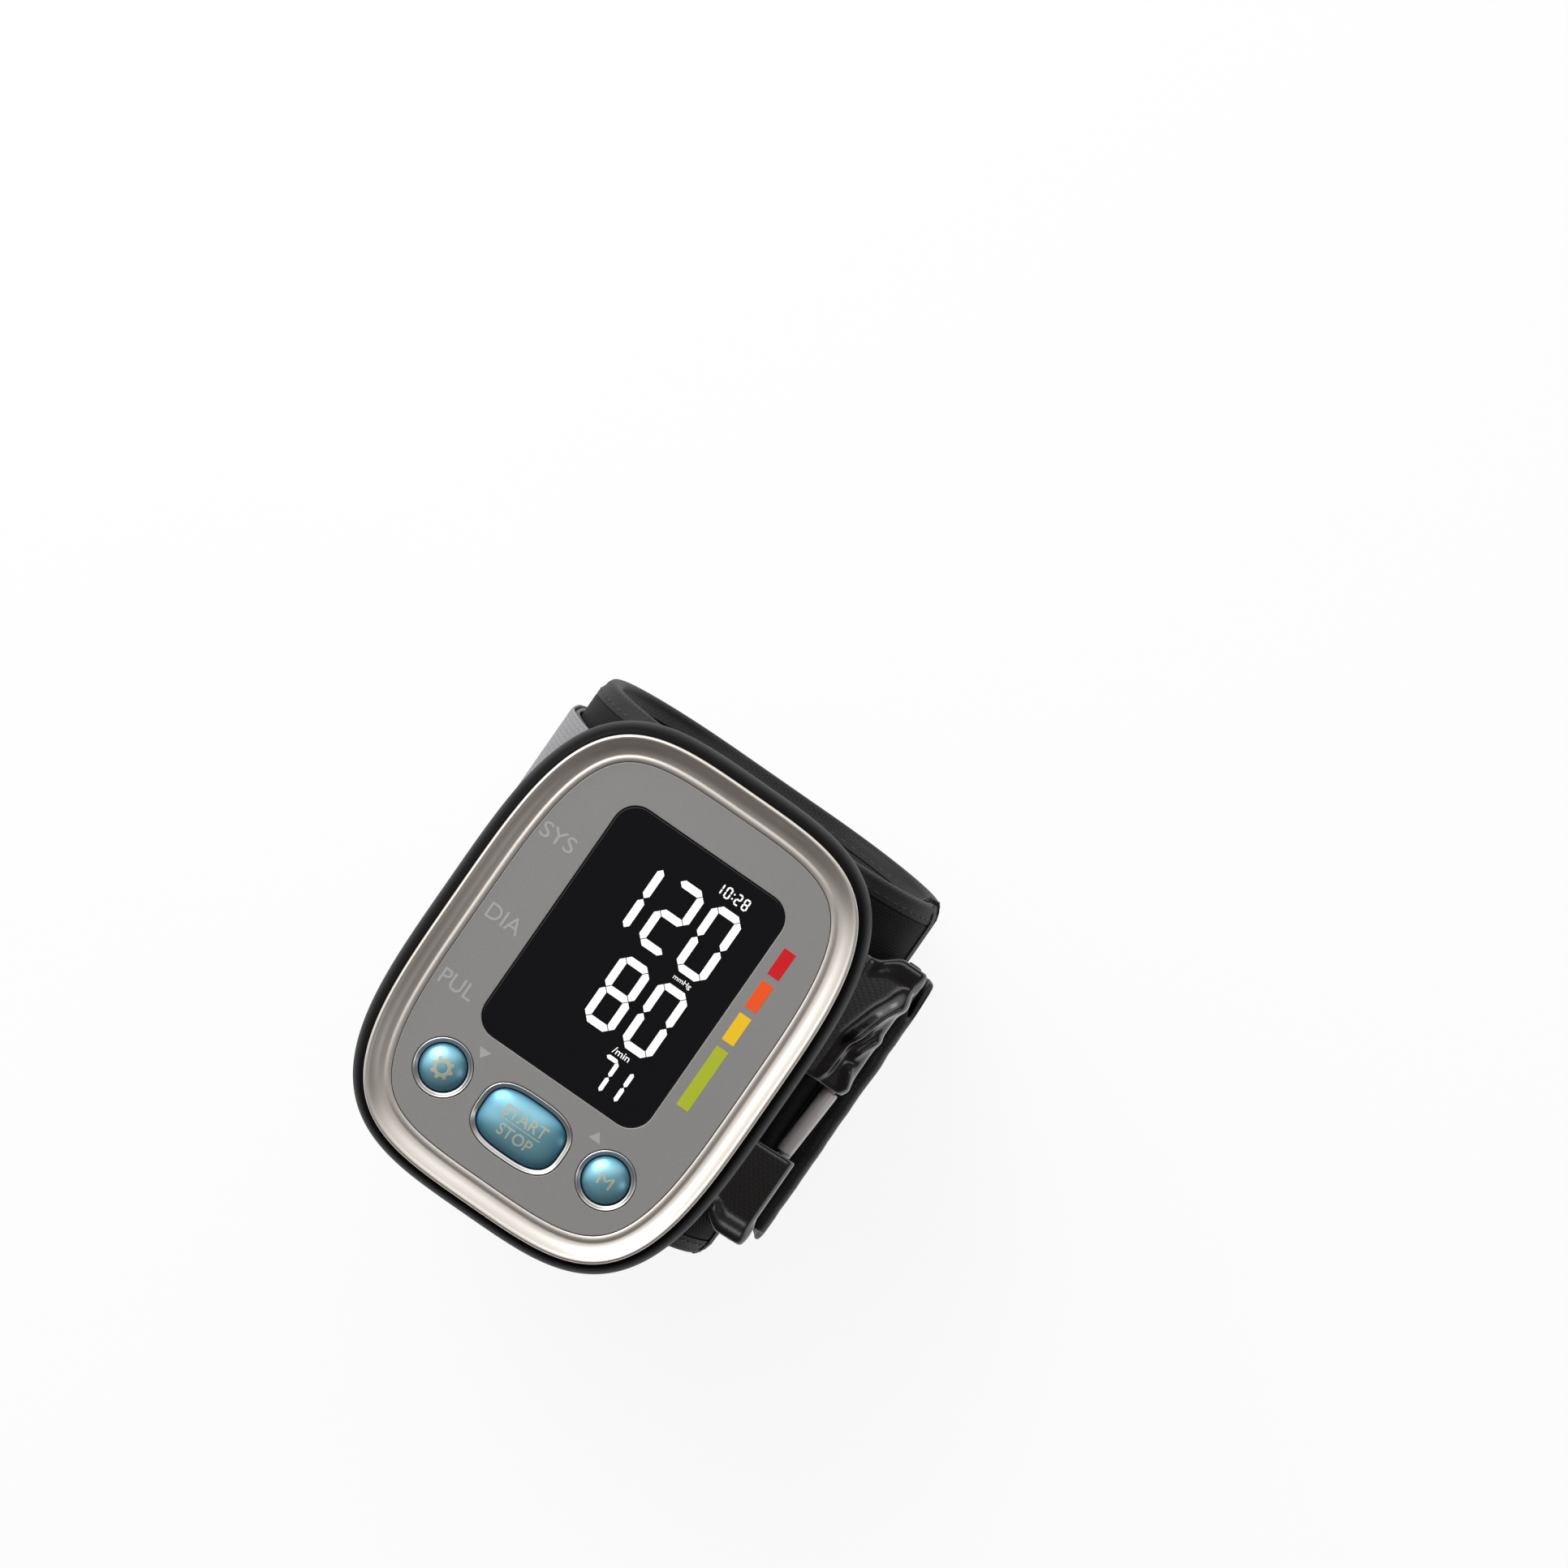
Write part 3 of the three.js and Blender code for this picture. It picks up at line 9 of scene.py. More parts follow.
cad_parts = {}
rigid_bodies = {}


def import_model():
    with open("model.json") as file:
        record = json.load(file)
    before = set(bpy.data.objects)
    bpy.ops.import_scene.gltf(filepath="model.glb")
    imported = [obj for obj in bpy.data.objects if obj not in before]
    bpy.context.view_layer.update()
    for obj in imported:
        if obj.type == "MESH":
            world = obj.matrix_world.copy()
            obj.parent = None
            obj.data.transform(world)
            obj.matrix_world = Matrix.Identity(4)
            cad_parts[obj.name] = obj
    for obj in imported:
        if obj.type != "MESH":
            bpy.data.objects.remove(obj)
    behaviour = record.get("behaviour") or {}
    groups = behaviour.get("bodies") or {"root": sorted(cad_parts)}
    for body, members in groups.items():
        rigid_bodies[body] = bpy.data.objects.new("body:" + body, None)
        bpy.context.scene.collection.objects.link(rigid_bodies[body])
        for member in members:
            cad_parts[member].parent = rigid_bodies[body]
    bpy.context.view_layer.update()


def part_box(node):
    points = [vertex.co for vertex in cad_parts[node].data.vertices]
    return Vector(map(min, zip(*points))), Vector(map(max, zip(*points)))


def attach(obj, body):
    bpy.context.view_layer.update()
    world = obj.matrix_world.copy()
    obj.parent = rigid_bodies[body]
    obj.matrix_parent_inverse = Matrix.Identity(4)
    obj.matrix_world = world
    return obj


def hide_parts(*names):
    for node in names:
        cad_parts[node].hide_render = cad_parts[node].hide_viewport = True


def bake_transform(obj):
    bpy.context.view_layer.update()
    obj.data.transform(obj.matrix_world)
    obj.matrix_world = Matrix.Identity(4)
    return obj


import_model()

bl_info = {
    "name": "Wrist Pressure Monitor",
    "version": (1, 0, 0),
    "blender": (4, 5, 0),
    "location": "View3D > Sidebar > Monitor",
    "description": "Builds the visible pieces of a wrist blood pressure monitor over its solid model",
    "category": "Object",
}

MM = 0.001
X_WAY, Y_WAY, Z_WAY = Matrix.Identity(3)
KEY_NAMES = ("settings", "memory", "start_stop")
SCREW_NODES = [f"case_screw_{number}" for number in range(1, 5)]
TAB_NODES = ("ring_tab_upper", "ring_tab_lower")


def number(name, description, value, **options):
    """Plain number property."""
    return bpy.props.FloatProperty(name=name, description=description, default=value, **options)


def length(name, description, millimetres):
    """Length property that is written in millimetres."""
    return number(name, description, millimetres * MM, unit="LENGTH", precision=5)


def linear(*screen):
    """Linear colour of 8 bit screen values."""
    shares = [value / 255 for value in screen]
    bright = [share / 12.92 if share <= 0.04045 else ((share + 0.055) / 1.055) ** 2.4 for share in shares]
    return bright + [1]


def colour(name, description, *screen):
    """Colour property that is written in 8 bit screen values."""
    return bpy.props.FloatVectorProperty(
        name=name, description=description, subtype="COLOR", size=4, min=0, max=1,
        default=linear(*screen))


class MonitorCase(bpy.types.PropertyGroup):
    """Sizes of the black case."""

    squareness: number("Squareness", "Exponent of the case outline", 3.55, min=2)
    rim_width: length("Rim width", "Rounded black rim outside the bezel", 2.3)
    shoulder_inset: length("Shoulder inset", "Outline to the foot of the sloping shoulder", 6.9)
    shoulder_drop: length("Shoulder drop", "Rim top to the foot of the shoulder", 1.5)
    plate_thickness: length("Plate thickness", "Plate below the face", 1.5)
    wall: length("Wall", "Thickness of the case walls", 2.0)
    edge_break: length("Edge break", "Rounding at the parting line", 0.3)
    parting_gap: length("Parting gap", "Gap between the two halves of the case", 0.3)
    flank_draw: length("Flank draw", "How far the lower case draws in", 8.0)
    flank_drop: length("Flank drop", "Height over which the lower case draws in", 17.3)
    saddle_radius: length("Saddle radius", "Corner radius of the hollow for the cuff", 25.7)
    floor_radius: length("Floor radius", "Corner radius of the inside of the floor", 27.5)
    screw_head: length("Screw head radius", "Radius of the case screw heads", 1.9)
    screw_height: length("Screw head height", "Height of the case screw heads", 1.6)
    door_gap: length("Door gap", "Gap round the battery cover", 0.3)
    rib_radius: length("Rib radius", "Radius of the grip ribs on the battery cover", 0.48)


class MonitorFront(bpy.types.PropertyGroup):
    """Sizes of the bezel, face, window and printed signs."""

    bezel_inset: length("Bezel inset", "Case outline to the bezel", 2.4)
    bezel_width: length("Bezel width", "Width of the dished bezel", 4.45)
    lip_rise: length("Lip rise", "Outer lip above the face", 1.6)
    valley_drop: length("Valley drop", "Groove before the inner bead, below the face", 0.02)
    bead_rise: length("Bead rise", "Inner bead above the face", 0.09)
    face_inset: length("Face inset", "Case outline to the face plate", 6.95)
    window_gap: length("Window gap", "Gap between face and window", 0.12)
    window_corner: length("Window corner", "Corner radius of the window", 4.0)
    print_height: length("Print height", "Thickness of the printed signs", 0.03)
    digit_stroke: length("Digit stroke", "Width of the display strokes", 1.35)
    digit_width: length("Digit width", "Width of a large digit", 5.9)
    digit_height: length("Digit height", "Height of a large digit", 12.95)


class MonitorKeys(bpy.types.PropertyGroup):
    """Sizes of the three keys."""

    ring_outset: length("Ring outset", "Gap between a key and its ring", 0.2)
    ring_width: length("Ring width", "Width of the ring round a key", 0.8)
    ring_proud: length("Ring proud", "Ring top above the face", 0.1)
    ring_sink: length("Ring sink", "Inner foot of the ring below the face", 0.28)
    edge_proud: length("Edge proud", "Key edge above the face", -0.25)
    dome: length("Dome", "Height of the domed key top", 1.68)
    travel_lip: length("Lip", "Width of the lip that holds a key in", 0.9)
    stem: length("Stem", "Radius of the stem below a key", 1.6)
    start_squareness: number("Start key squareness", "Exponent of the start key outline", 3.0, min=2)


class MonitorCuff(bpy.types.PropertyGroup):
    """Sizes of the padded cuff."""

    cover_outer: length("Cover outer radius", "Corner radius of the outside of the cover", 25.4)
    cover_inner: length("Cover inner radius", "Corner radius of the inside of the cover", 24.15)
    lining_inner: length("Lining inner radius", "Corner radius of the wrist side", 19.8)
    lining_thickness: length("Lining thickness", "Thickness of the lining", 0.9)
    puff: length("Puff", "How far the lining swells to the wrist", 1.1)
    lean: number("Lean", "Forward lean of the cuff for each unit of depth", 0.08)
    start_angle: number("Start angle", "Angle of the free upper end", math.radians(12), subtype="ANGLE")
    end_rise: length("End rise", "Lower end above its corner centre", 1.0)
    row_pitch: length("Row pitch", "Distance between mesh rows along the cuff", 1.1)
    tape_width: length("Tape width", "Width of the edge tape", 2.4)
    tape_thickness: length("Tape thickness", "Thickness of the edge tape", 0.35)
    end_tape: length("End tape", "Thickness of the tape over the free ends", 0.2)
    stitch_pitch: length("Stitch pitch", "Distance between stitches", 2.3)
    stitch_length: length("Stitch length", "Length of a stitch", 1.6)
    stitch_width: length("Stitch width", "Thickness of the thread", 0.34)


class MonitorStrap(bpy.types.PropertyGroup):
    """Sizes of the strap, the wire ring and its tabs."""

    width: length("Width", "Width of the strap", 50.0)
    middle: length("Middle", "Place of the strap's middle along the arm", 2.5)
    thickness: length("Thickness", "Thickness of the strap", 1.0)
    radius: length("Radius", "Corner radius of the strap on the cuff", 26.15)
    outer_radius: length("Outer radius", "Corner radius where the strap lies on itself", 27.4)
    fold_radius: length("Fold radius", "Radius of the fold over the ring", 2.5)
    fan: length("Fan", "How far the strap spreads below the ring", 2.2)
    slant: number("Slant", "Drift of the strap along the arm as it goes round", 0.08)
    seam_x: length("Seam place", "Where the strap passes into its tail", 2.0)
    panel_radius: length("Panel radius", "Corner radius of the middle of the end panel", 27.2)
    panel_thickness: length("Panel thickness", "Thickness of the end panel", 0.6)
    wire: length("Wire", "Thickness of the ring wire", 2.2)
    wire_corner: length("Wire corner", "Bend radius of the ring wire", 3.0)
    eye: length("Eye", "Outer radius of the eyes of the ring", 1.72)
    tab_wrap: length("Tab wrap", "Radius of the tabs round the bar", 1.9)
    crease: length("Crease", "Height of the creases in the tabs", 1.5)
    flap: length("Flap", "How far the tabs spread over the eyes of the ring", 2.7)
    bar_trim: length("Bar trim", "Shortening of each end of the bar", 0.8)
    roller: length("Roller", "Radius of the bright roller between the tabs", 1.5)


class MonitorColours(bpy.types.PropertyGroup):
    """Colours of the finishes."""

    case: colour("Case", "Moulded black plastic", 15, 14, 14)
    bezel: colour("Bezel", "Satin silver of the bezel", 212, 207, 201)
    face: colour("Face", "Grey metallic face", 142, 141, 140)
    window: colour("Window", "Smoked display window", 10, 11, 15)
    key: colour("Key", "Pearl blue keys", 132, 194, 212)
    # Painted shade: a darker blue that stands in for the shading on the steep edges of the key domes
    key_painted_shade: colour("Key shade", "Deeper tone of the pearl", 34, 116, 148)
    ring: colour("Ring trim", "Silver rings round the keys", 214, 212, 210)
    legend: colour("Legend", "Signs on the keys", 170, 172, 156)
    label: colour("Label", "Faint signs on the face", 162, 162, 161)
    digit: colour("Digit", "Lit display digits", 240, 242, 244)
    red: colour("Red level", "Highest level bar", 205, 15, 25)
    orange: colour("Orange level", "High level bar", 240, 85, 25)
    yellow: colour("Yellow level", "Raised level bar", 240, 195, 30)
    green: colour("Green level", "Normal level bar", 172, 184, 45)
    cover: colour("Cover", "Black cuff cloth", 13, 12, 12)
    lining: colour("Lining", "Dark lining cloth", 34, 33, 35)
    tape: colour("Tape", "Edge tape", 20, 20, 21)
    strap: colour("Strap", "Glossy black strap", 16, 16, 17)
    panel: colour("Panel", "Grey end panel", 112, 112, 116)
    thread: colour("Thread", "Stitching thread", 30, 30, 32)
    wire: colour("Wire", "Black coated wire", 22, 22, 24)
    steel: colour("Steel", "Bright steel", 200, 198, 198)
    bar: colour("Bar", "Bright bar that carries the ring", 238, 234, 235)
    cell: colour("Cell", "Jacket of the dry cells", 44, 52, 60)


class MonitorStage(bpy.types.PropertyGroup):
    """Camera and light."""

    camera: bpy.props.FloatVectorProperty(
        name="Camera", description="Camera place", subtype="TRANSLATION",
        default=(3.16 * MM, 45.28 * MM, 779.6 * MM))
    roll: number("Roll", "Turn of the picture about the view", math.radians(34.8), subtype="ANGLE")
    lens: number("Lens", "Focal length on a 36 mm sensor", 97.7, subtype="DISTANCE_CAMERA")
    card_power: number("Card power", "Power of the large soft lamp", 6.0, unit="POWER")
    fill_power: number("Fill power", "Power of the small fill lamp", 0.25, unit="POWER")
    sky_bright: number("Bright sky", "Strength of the surrounding light on the lamp's side", 1.35)
    sky_dim: number("Dim sky", "Strength of the surrounding light on the far side", 0.1)
    floor_white: number("Floor white", "Share of plain white in the floor as it is seen", 0.9, min=0, max=1)


def case():
    """Case settings."""
    return bpy.context.scene.monitor_case


def front():
    """Front settings."""
    return bpy.context.scene.monitor_front


def keys():
    """Key settings."""
    return bpy.context.scene.monitor_keys


def cuff():
    """Cuff settings."""
    return bpy.context.scene.monitor_cuff


def strap():
    """Strap settings."""
    return bpy.context.scene.monitor_strap


def colours():
    """Colour settings."""
    return bpy.context.scene.monitor_colours


def placed(name, data):
    """Object of some data in the scene."""
    holder = bpy.data.objects.new(name, data)
    bpy.context.scene.collection.objects.link(holder)
    return holder


def evaluated(holder):
    """Plain mesh of an object with its modifiers; the object itself goes."""
    bpy.context.view_layer.update()
    graph = bpy.context.evaluated_depsgraph_get()
    mesh = bpy.data.meshes.new_from_object(holder.evaluated_get(graph))
    source = holder.data
    bpy.data.objects.remove(holder)
    bpy.data.batch_remove([source])
    if not mesh.polygons:
        raise RuntimeError(f"{mesh.name} came out empty")
    return mesh


def settled(work, mesh, fold):
    """Writes an edit to its mesh, with faces turned outwards and folds over an angle kept sharp."""
    bmesh.ops.recalc_face_normals(work, faces=work.faces)
    work.to_mesh(mesh)
    work.free()
    mesh.shade_smooth()
    mesh.set_sharp_from_angle(angle=math.radians(fold))
    return mesh


def finished(mesh, fold=35):
    """Closes a mesh and settles it."""
    work = bmesh.new()
    work.from_mesh(mesh)
    bmesh.ops.remove_doubles(work, verts=work.verts, dist=2e-6)
    return settled(work, mesh, fold)


def solid(name, vertices, faces, fold=35, uvs=None):
    """Mesh of points and faces, with a UV map where each point has its place on the cloth."""
    mesh = bpy.data.meshes.new(name)
    mesh.from_pydata([tuple(point) for point in vertices], [], faces)
    if uvs:
        layer = mesh.uv_layers.new(name="cloth")
        for loop in mesh.loops:
            layer.data[loop.index].uv = uvs[loop.vertex_index]
    return finished(mesh, fold)


def joined(name, meshes):
    """One mesh of several."""
    work = bmesh.new()
    for mesh in meshes:
        work.from_mesh(mesh)
    result = bpy.data.meshes.new(name)
    work.to_mesh(result)
    work.free()
    bpy.data.batch_remove(meshes)
    return result


def carved(mesh, cutter, operation="DIFFERENCE"):
    """Mesh after one boolean step; both inputs are used up."""
    holder = placed("carve", mesh)
    tool = placed("carve_tool", cutter)
    step = holder.modifiers.new("carve", "BOOLEAN")
    step.operation = operation
    step.solver = "EXACT"
    step.object = tool
    result = evaluated(holder)
    bpy.data.objects.remove(tool)
    bpy.data.batch_remove([cutter])
    return result


def piece(name, mesh, coat, replaces=(), body="root"):
    """Finished piece that stands for some nodes and rides on a body, if one is named."""
    mesh.name = name
    mesh.materials.clear()
    mesh.materials.append(coat)
    holder = placed(name, mesh)
    if body:
        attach(holder, body)
    if replaces:
        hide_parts(*replaces)
    return holder


def eased(share):
    """Smooth step from 0 to 1."""
    share = min(1.0, max(0.0, share))
    return share * share * (3 - 2 * share)


def circle(count):
    """Cosine and sine at even steps round a full turn."""
    turns = (2 * math.pi * step / count for step in range(count))
    return [(math.cos(turn), math.sin(turn)) for turn in turns]


def quarter(steps, first=0):
    """Cosine and sine at even steps of a quarter turn."""
    turns = (math.pi / 2 * step / steps for step in range(first, steps + 1))
    return [(math.cos(turn), math.sin(turn)) for turn in turns]


def arc(centre, radius, first, last, count):
    """Flat points between two angles in degrees."""
    x, y = centre
    turns = (math.radians(first + (last - first) * step / count) for step in range(count + 1))
    return [Vector((x + radius * math.cos(turn), y + radius * math.sin(turn))) for turn in turns]


def hoop(centre, radius, side, up, count):
    """Ring of points about a centre, in the plane of two directions."""
    return [centre + (side * across + up * high) * radius for across, high in circle(count)]


def neighbours(points):
    """Each point with the one before and the one after; an end stands in for what is missing."""
    return zip(points, points[:1] + points, points[1:] + points[-1:])


def loft(name, rings, fold=35, looped=False, uvs=None):
    """Closed skin over rings of equal count."""
    count = len(rings[0])
    levels = len(rings)
    faces = []
    for level in range(levels if looped else levels - 1):
        below = level * count
        above = (level + 1) % levels * count
        for step in range(count):
            after = (step + 1) % count
            faces.append((below + step, below + after, above + after, above + step))
    if not looped:
        faces.append(tuple(range(count)))
        faces.append(tuple(range((levels - 1) * count, levels * count)))
    return solid(name, [point for ring in rings for point in ring], faces, fold, uvs)


def signed_power(value, power):
    """Power that keeps the sign."""
    return math.copysign(abs(value) ** power, value)


def outline(half_x, half_y, squareness, inset=0.0, centre=(0.0, 0.0), count=240):
    """Points of a rounded outline, moved inwards by an inset."""
    points = []
    for across, up in circle(count):
        x = signed_power(across, 2 / squareness)
        y = signed_power(up, 2 / squareness)
        normal = Vector((signed_power(x, squareness - 1) / half_x, signed_power(y, squareness - 1) / half_y))
        normal.normalize()
        points.append((centre[0] + half_x * x - inset * normal.x, centre[1] + half_y * y - inset * normal.y))
    return points


def disc(radius, centre, count):
    """Points of a circle."""
    return outline(radius, radius, 2, 0, centre, count)


def rounded(half_x, half_y, corner, centre, steps=10):
    """Points of a rectangle with round corners."""
    points = []
    for turn, (sign_x, sign_y) in enumerate(((1, 1), (-1, 1), (-1, -1), (1, -1))):
        for step in range(steps + 1):
            angle = math.pi / 2 * (turn + step / steps)
            points.append((centre[0] + sign_x * (half_x - corner) + corner * math.cos(angle),
                           centre[1] + sign_y * (half_y - corner) + corner * math.sin(angle)))
    return points


def rectangle(left, near, right, far):
    """Corners of a rectangle."""
    return [(left, near), (right, near), (right, far), (left, far)]


def raised(points, height):
    """Flat points at a height."""
    return [Vector((x, y, height)) for x, y in points]


def slab(name, points, low, high):
    """Upright solid of a flat outline."""
    return loft(name, [raised(points, low), raised(points, high)])


def flat_plate(name, outlines, low, high, bevel):
    """Plate of an outline with holes and a small bevel on every edge."""
    curve = bpy.data.curves.new(name, "CURVE")
    curve.dimensions = "2D"
    curve.fill_mode = "BOTH"
    curve.extrude = (high - low) / 2 - bevel
    curve.bevel_depth = bevel
    curve.bevel_resolution = 2
    curve.offset = -bevel
    for points in outlines:
        spline = curve.splines.new("POLY")
        spline.points.add(len(points) - 1)
        for point, (x, y) in zip(spline.points, points):
            point.co = (x, y, 0, 1)
        spline.use_cyclic_u = True
    mesh = evaluated(placed(name, curve))
    mesh.transform(Matrix.Translation((0, 0, (low + high) / 2)))
    return finished(mesh, 8)


def words(text, width, height, place, low, thickness, weight=0.006):
    """Flat lettering stretched to a width and height about a place."""
    curve = bpy.data.curves.new("words", "FONT")
    curve.body = text
    curve.extrude = thickness / 2
    curve.offset = weight
    curve.resolution_u = 6
    mesh = evaluated(placed("words", curve))
    xs = [vertex.co.x for vertex in mesh.vertices]
    ys = [vertex.co.y for vertex in mesh.vertices]
    middle = Vector(((max(xs) + min(xs)) / 2, (max(ys) + min(ys)) / 2, 0))
    size = Matrix.Diagonal((width / (max(xs) - min(xs)), height / (max(ys) - min(ys)), 1, 1))
    shift = Matrix.Translation((place[0], place[1], low + thickness / 2))
    mesh.transform(shift @ size @ Matrix.Translation(-middle))
    return finished(mesh, 30)


class Bench:
    """Adds nodes to one tree and links them."""

    def __init__(self, tree):
        self.tree = tree

    def fill(self, node, inputs):
        """Links a node's inputs or gives them a value."""
        for socket, value in inputs.items():
            if isinstance(value, bpy.types.NodeSocket):
                self.tree.links.new(value, node.inputs[socket])
            else:
                node.inputs[socket].default_value = value

    def add(self, kind, inputs=None, **settings):
        """Node with its settings and inputs."""
        node = self.tree.nodes.new(kind)
        for name, value in settings.items():
            setattr(node, name, value)
        self.fill(node, inputs or {})
        return node

    def out(self, kind, inputs=None, socket=0, **settings):
        """Output of a new node."""
        return self.add(kind, inputs, **settings).outputs[socket]

    def math(self, operation, first, second=0.0):
        """Output of one sum."""
        return self.out("ShaderNodeMath", {0: first, 1: second}, operation=operation)


def new_tree(name, kind, inputs, outputs):
    """Bench of a new node tree with named sockets, and the tree's inputs."""
    tree = bpy.data.node_groups.new(name, kind)
    for way, sockets in (("INPUT", inputs), ("OUTPUT", outputs)):
        for label, socket in sockets.items():
            tree.interface.new_socket(label, in_out=way, socket_type=f"NodeSocket{socket}")
    bench = Bench(tree)
    return bench, bench.add("NodeGroupInput").outputs


def geometry_tree(name, inputs):
    """Geometry tree that takes a material and puts out one geometry."""
    return new_tree(name, "GeometryNodeTree", {**inputs, "Material": "Material"}, {"Geometry": "Geometry"})


def ended(bench, given, geometry):
    """Geometry tree with its last nodes, which give the geometry its material."""
    real = bench.out("GeometryNodeRealizeInstances", {0: geometry})
    coated = bench.out("GeometryNodeSetMaterial", {"Geometry": real, "Material": given["Material"]})
    bench.add("NodeGroupOutput", {0: coated})
    return bench.tree


def outline_sweep_tree():
    """Tree that carries a section round a rounded outline."""
    bench, given = geometry_tree("outline_sweep", {
        "Section": "Geometry", "Half Width": "Float", "Half Length": "Float", "Squareness": "Float",
        "Centre": "Vector", "Steps": "Int"})
    ring = bench.out("GeometryNodeCurvePrimitiveCircle", {"Resolution": 1024, "Radius": 1.0})
    split = bench.add("ShaderNodeSeparateXYZ", {0: bench.out("GeometryNodeInputPosition")}).outputs
    power = bench.math("DIVIDE", 2.0, given["Squareness"])
    sides = []
    for part, half in ((split[0], given["Half Width"]), (split[1], given["Half Length"])):
        size = bench.math("POWER", bench.math("ABSOLUTE", part), power)
        sides.append(bench.math("MULTIPLY", bench.math("MULTIPLY", size, bench.math("SIGN", part)), half))
    place = bench.out("ShaderNodeCombineXYZ", {0: sides[0], 1: sides[1]})
    shaped = bench.out("GeometryNodeSetPosition", {"Geometry": ring, "Position": place})
    even = bench.out("GeometryNodeResampleCurve", {"Curve": shaped, "Count": given["Steps"]})
    upright = bench.out("GeometryNodeSetCurveNormal", {"Curve": even}, mode="Z_UP")
    section = bench.out("GeometryNodeMeshToCurve", {"Mesh": given["Section"]})
    swept = bench.out("GeometryNodeCurveToMesh", {"Curve": upright, "Profile Curve": section})
    moved = bench.out("GeometryNodeTransform", {"Geometry": swept, "Translation": given["Centre"]})
    return ended(bench, given, moved)


def stitch_tree():
    """Tree that lays stitches along seam lines."""
    bench, given = geometry_tree("seam_stitches", {
        "Seams": "Geometry", "Pitch": "Float", "Length": "Float", "Width": "Float"})
    line = bench.out("GeometryNodeMeshToCurve", {"Mesh": given["Seams"]})
    spaced = bench.out("GeometryNodeResampleCurve", {"Curve": line, "Length": given["Pitch"]}, mode="LENGTH")
    points = bench.add("GeometryNodeCurveToPoints", {"Curve": spaced}, mode="EVALUATED").outputs
    turned = bench.out("FunctionNodeAlignRotationToVector", {"Vector": points["Tangent"]}, axis="Z")
    half_width = bench.math("MULTIPLY", given["Width"], 0.5)
    half_length = bench.math("MULTIPLY", given["Length"], 0.5)
    scale = bench.out("ShaderNodeCombineXYZ", {0: half_width, 1: half_width, 2: half_length})
    stitch = bench.out("GeometryNodeMeshUVSphere", {"Segments": 6, "Rings": 4, "Radius": 1.0}, "Mesh")
    rows = bench.out("GeometryNodeInstanceOnPoints", {
        "Points": points["Points"], "Instance": stitch, "Rotation": turned, "Scale": scale})
    return ended(bench, given, rows)


def rib_tree():
    """Tree that lays round ribs along lines."""
    bench, given = geometry_tree("grip_ribs", {"Lines": "Geometry", "Radius": "Float"})
    line = bench.out("GeometryNodeMeshToCurve", {"Mesh": given["Lines"]})
    section = bench.out("GeometryNodeCurvePrimitiveCircle", {"Resolution": 12, "Radius": given["Radius"]})
    ribs = bench.out("GeometryNodeCurveToMesh", {"Curve": line, "Profile Curve": section, "Fill Caps": True})
    return ended(bench, given, ribs)


def screw_tree():
    """Tree that sets cross head screws at points, heads down."""
    bench, given = geometry_tree("case_screws", {
        "Places": "Geometry", "Radius": "Float", "Height": "Float"})
    head = bench.out("GeometryNodeMeshCylinder", {
        "Vertices": 40, "Radius": given["Radius"], "Depth": given["Height"]}, "Mesh")
    cross_length = bench.math("MULTIPLY", given["Radius"], 1.25)
    cross_width = bench.math("MULTIPLY", given["Radius"], 0.3)
    bars = bench.add("GeometryNodeJoinGeometry")
    for first, second in ((cross_length, cross_width), (cross_width, cross_length)):
        size = bench.out("ShaderNodeCombineXYZ", {0: first, 1: second, 2: given["Height"]})
        bench.fill(bars, {0: bench.out("GeometryNodeMeshCube", {"Size": size}, "Mesh")})
    sunk = bench.out("ShaderNodeCombineXYZ", {2: bench.math("MULTIPLY", given["Height"], -0.5)})
    cross = bench.out("GeometryNodeTransform", {"Geometry": bars.outputs[0], "Translation": sunk})
    cut = bench.out("GeometryNodeMeshBoolean", {"Mesh 1": head, "Mesh 2": cross}, "Mesh",
                    operation="DIFFERENCE")
    rows = bench.out("GeometryNodeInstanceOnPoints", {"Points": given["Places"], "Instance": cut})
    return ended(bench, given, rows)


TREES = {
    "outline_sweep": outline_sweep_tree,
    "seam_stitches": stitch_tree,
    "grip_ribs": rib_tree,
    "case_screws": screw_tree,
}


def grown(name, source, tree_name, **values):
    """Plain mesh that a geometry tree makes of a source mesh."""
    tree = bpy.data.node_groups.get(tree_name) or TREES[tree_name]()
    holder = placed(name, source)
    modifier = holder.modifiers.new(tree_name, "NODES")
    modifier.node_group = tree
    for item in tree.interface.items_tree:
        if item.item_type == "SOCKET" and item.in_out == "INPUT" and item.name in values:
            modifier[item.identifier] = values[item.name]
    return evaluated(holder)


def line_mesh(name, lines, closed=False):
    """Mesh of bare edges along lines of points."""
    vertices = []
    edges = []
    for line in lines:
        first = len(vertices)
        vertices.extend(tuple(point) for point in line)
        edges.extend((first + step, first + step + 1) for step in range(len(line) - 1))
        if closed:
            edges.append((len(vertices) - 1, first))
    mesh = bpy.data.meshes.new(name)
    mesh.from_pydata(vertices, edges, [])
    return mesh


def outline_ring(name, section, coat, half_x, half_y, squareness, centre=(0.0, 0.0), steps=320):
    """Closed ring of a section (inset, height) that follows a rounded outline."""
    profile = line_mesh(name, [[(-inset, -height, 0) for inset, height in section]], closed=True)
    mesh = grown(name, profile, "outline_sweep", **{
        "Half Width": half_x, "Half Length": half_y, "Squareness": squareness,
        "Centre": (centre[0], centre[1], 0.0), "Steps": steps, "Material": coat})
    return finished(mesh, 40)


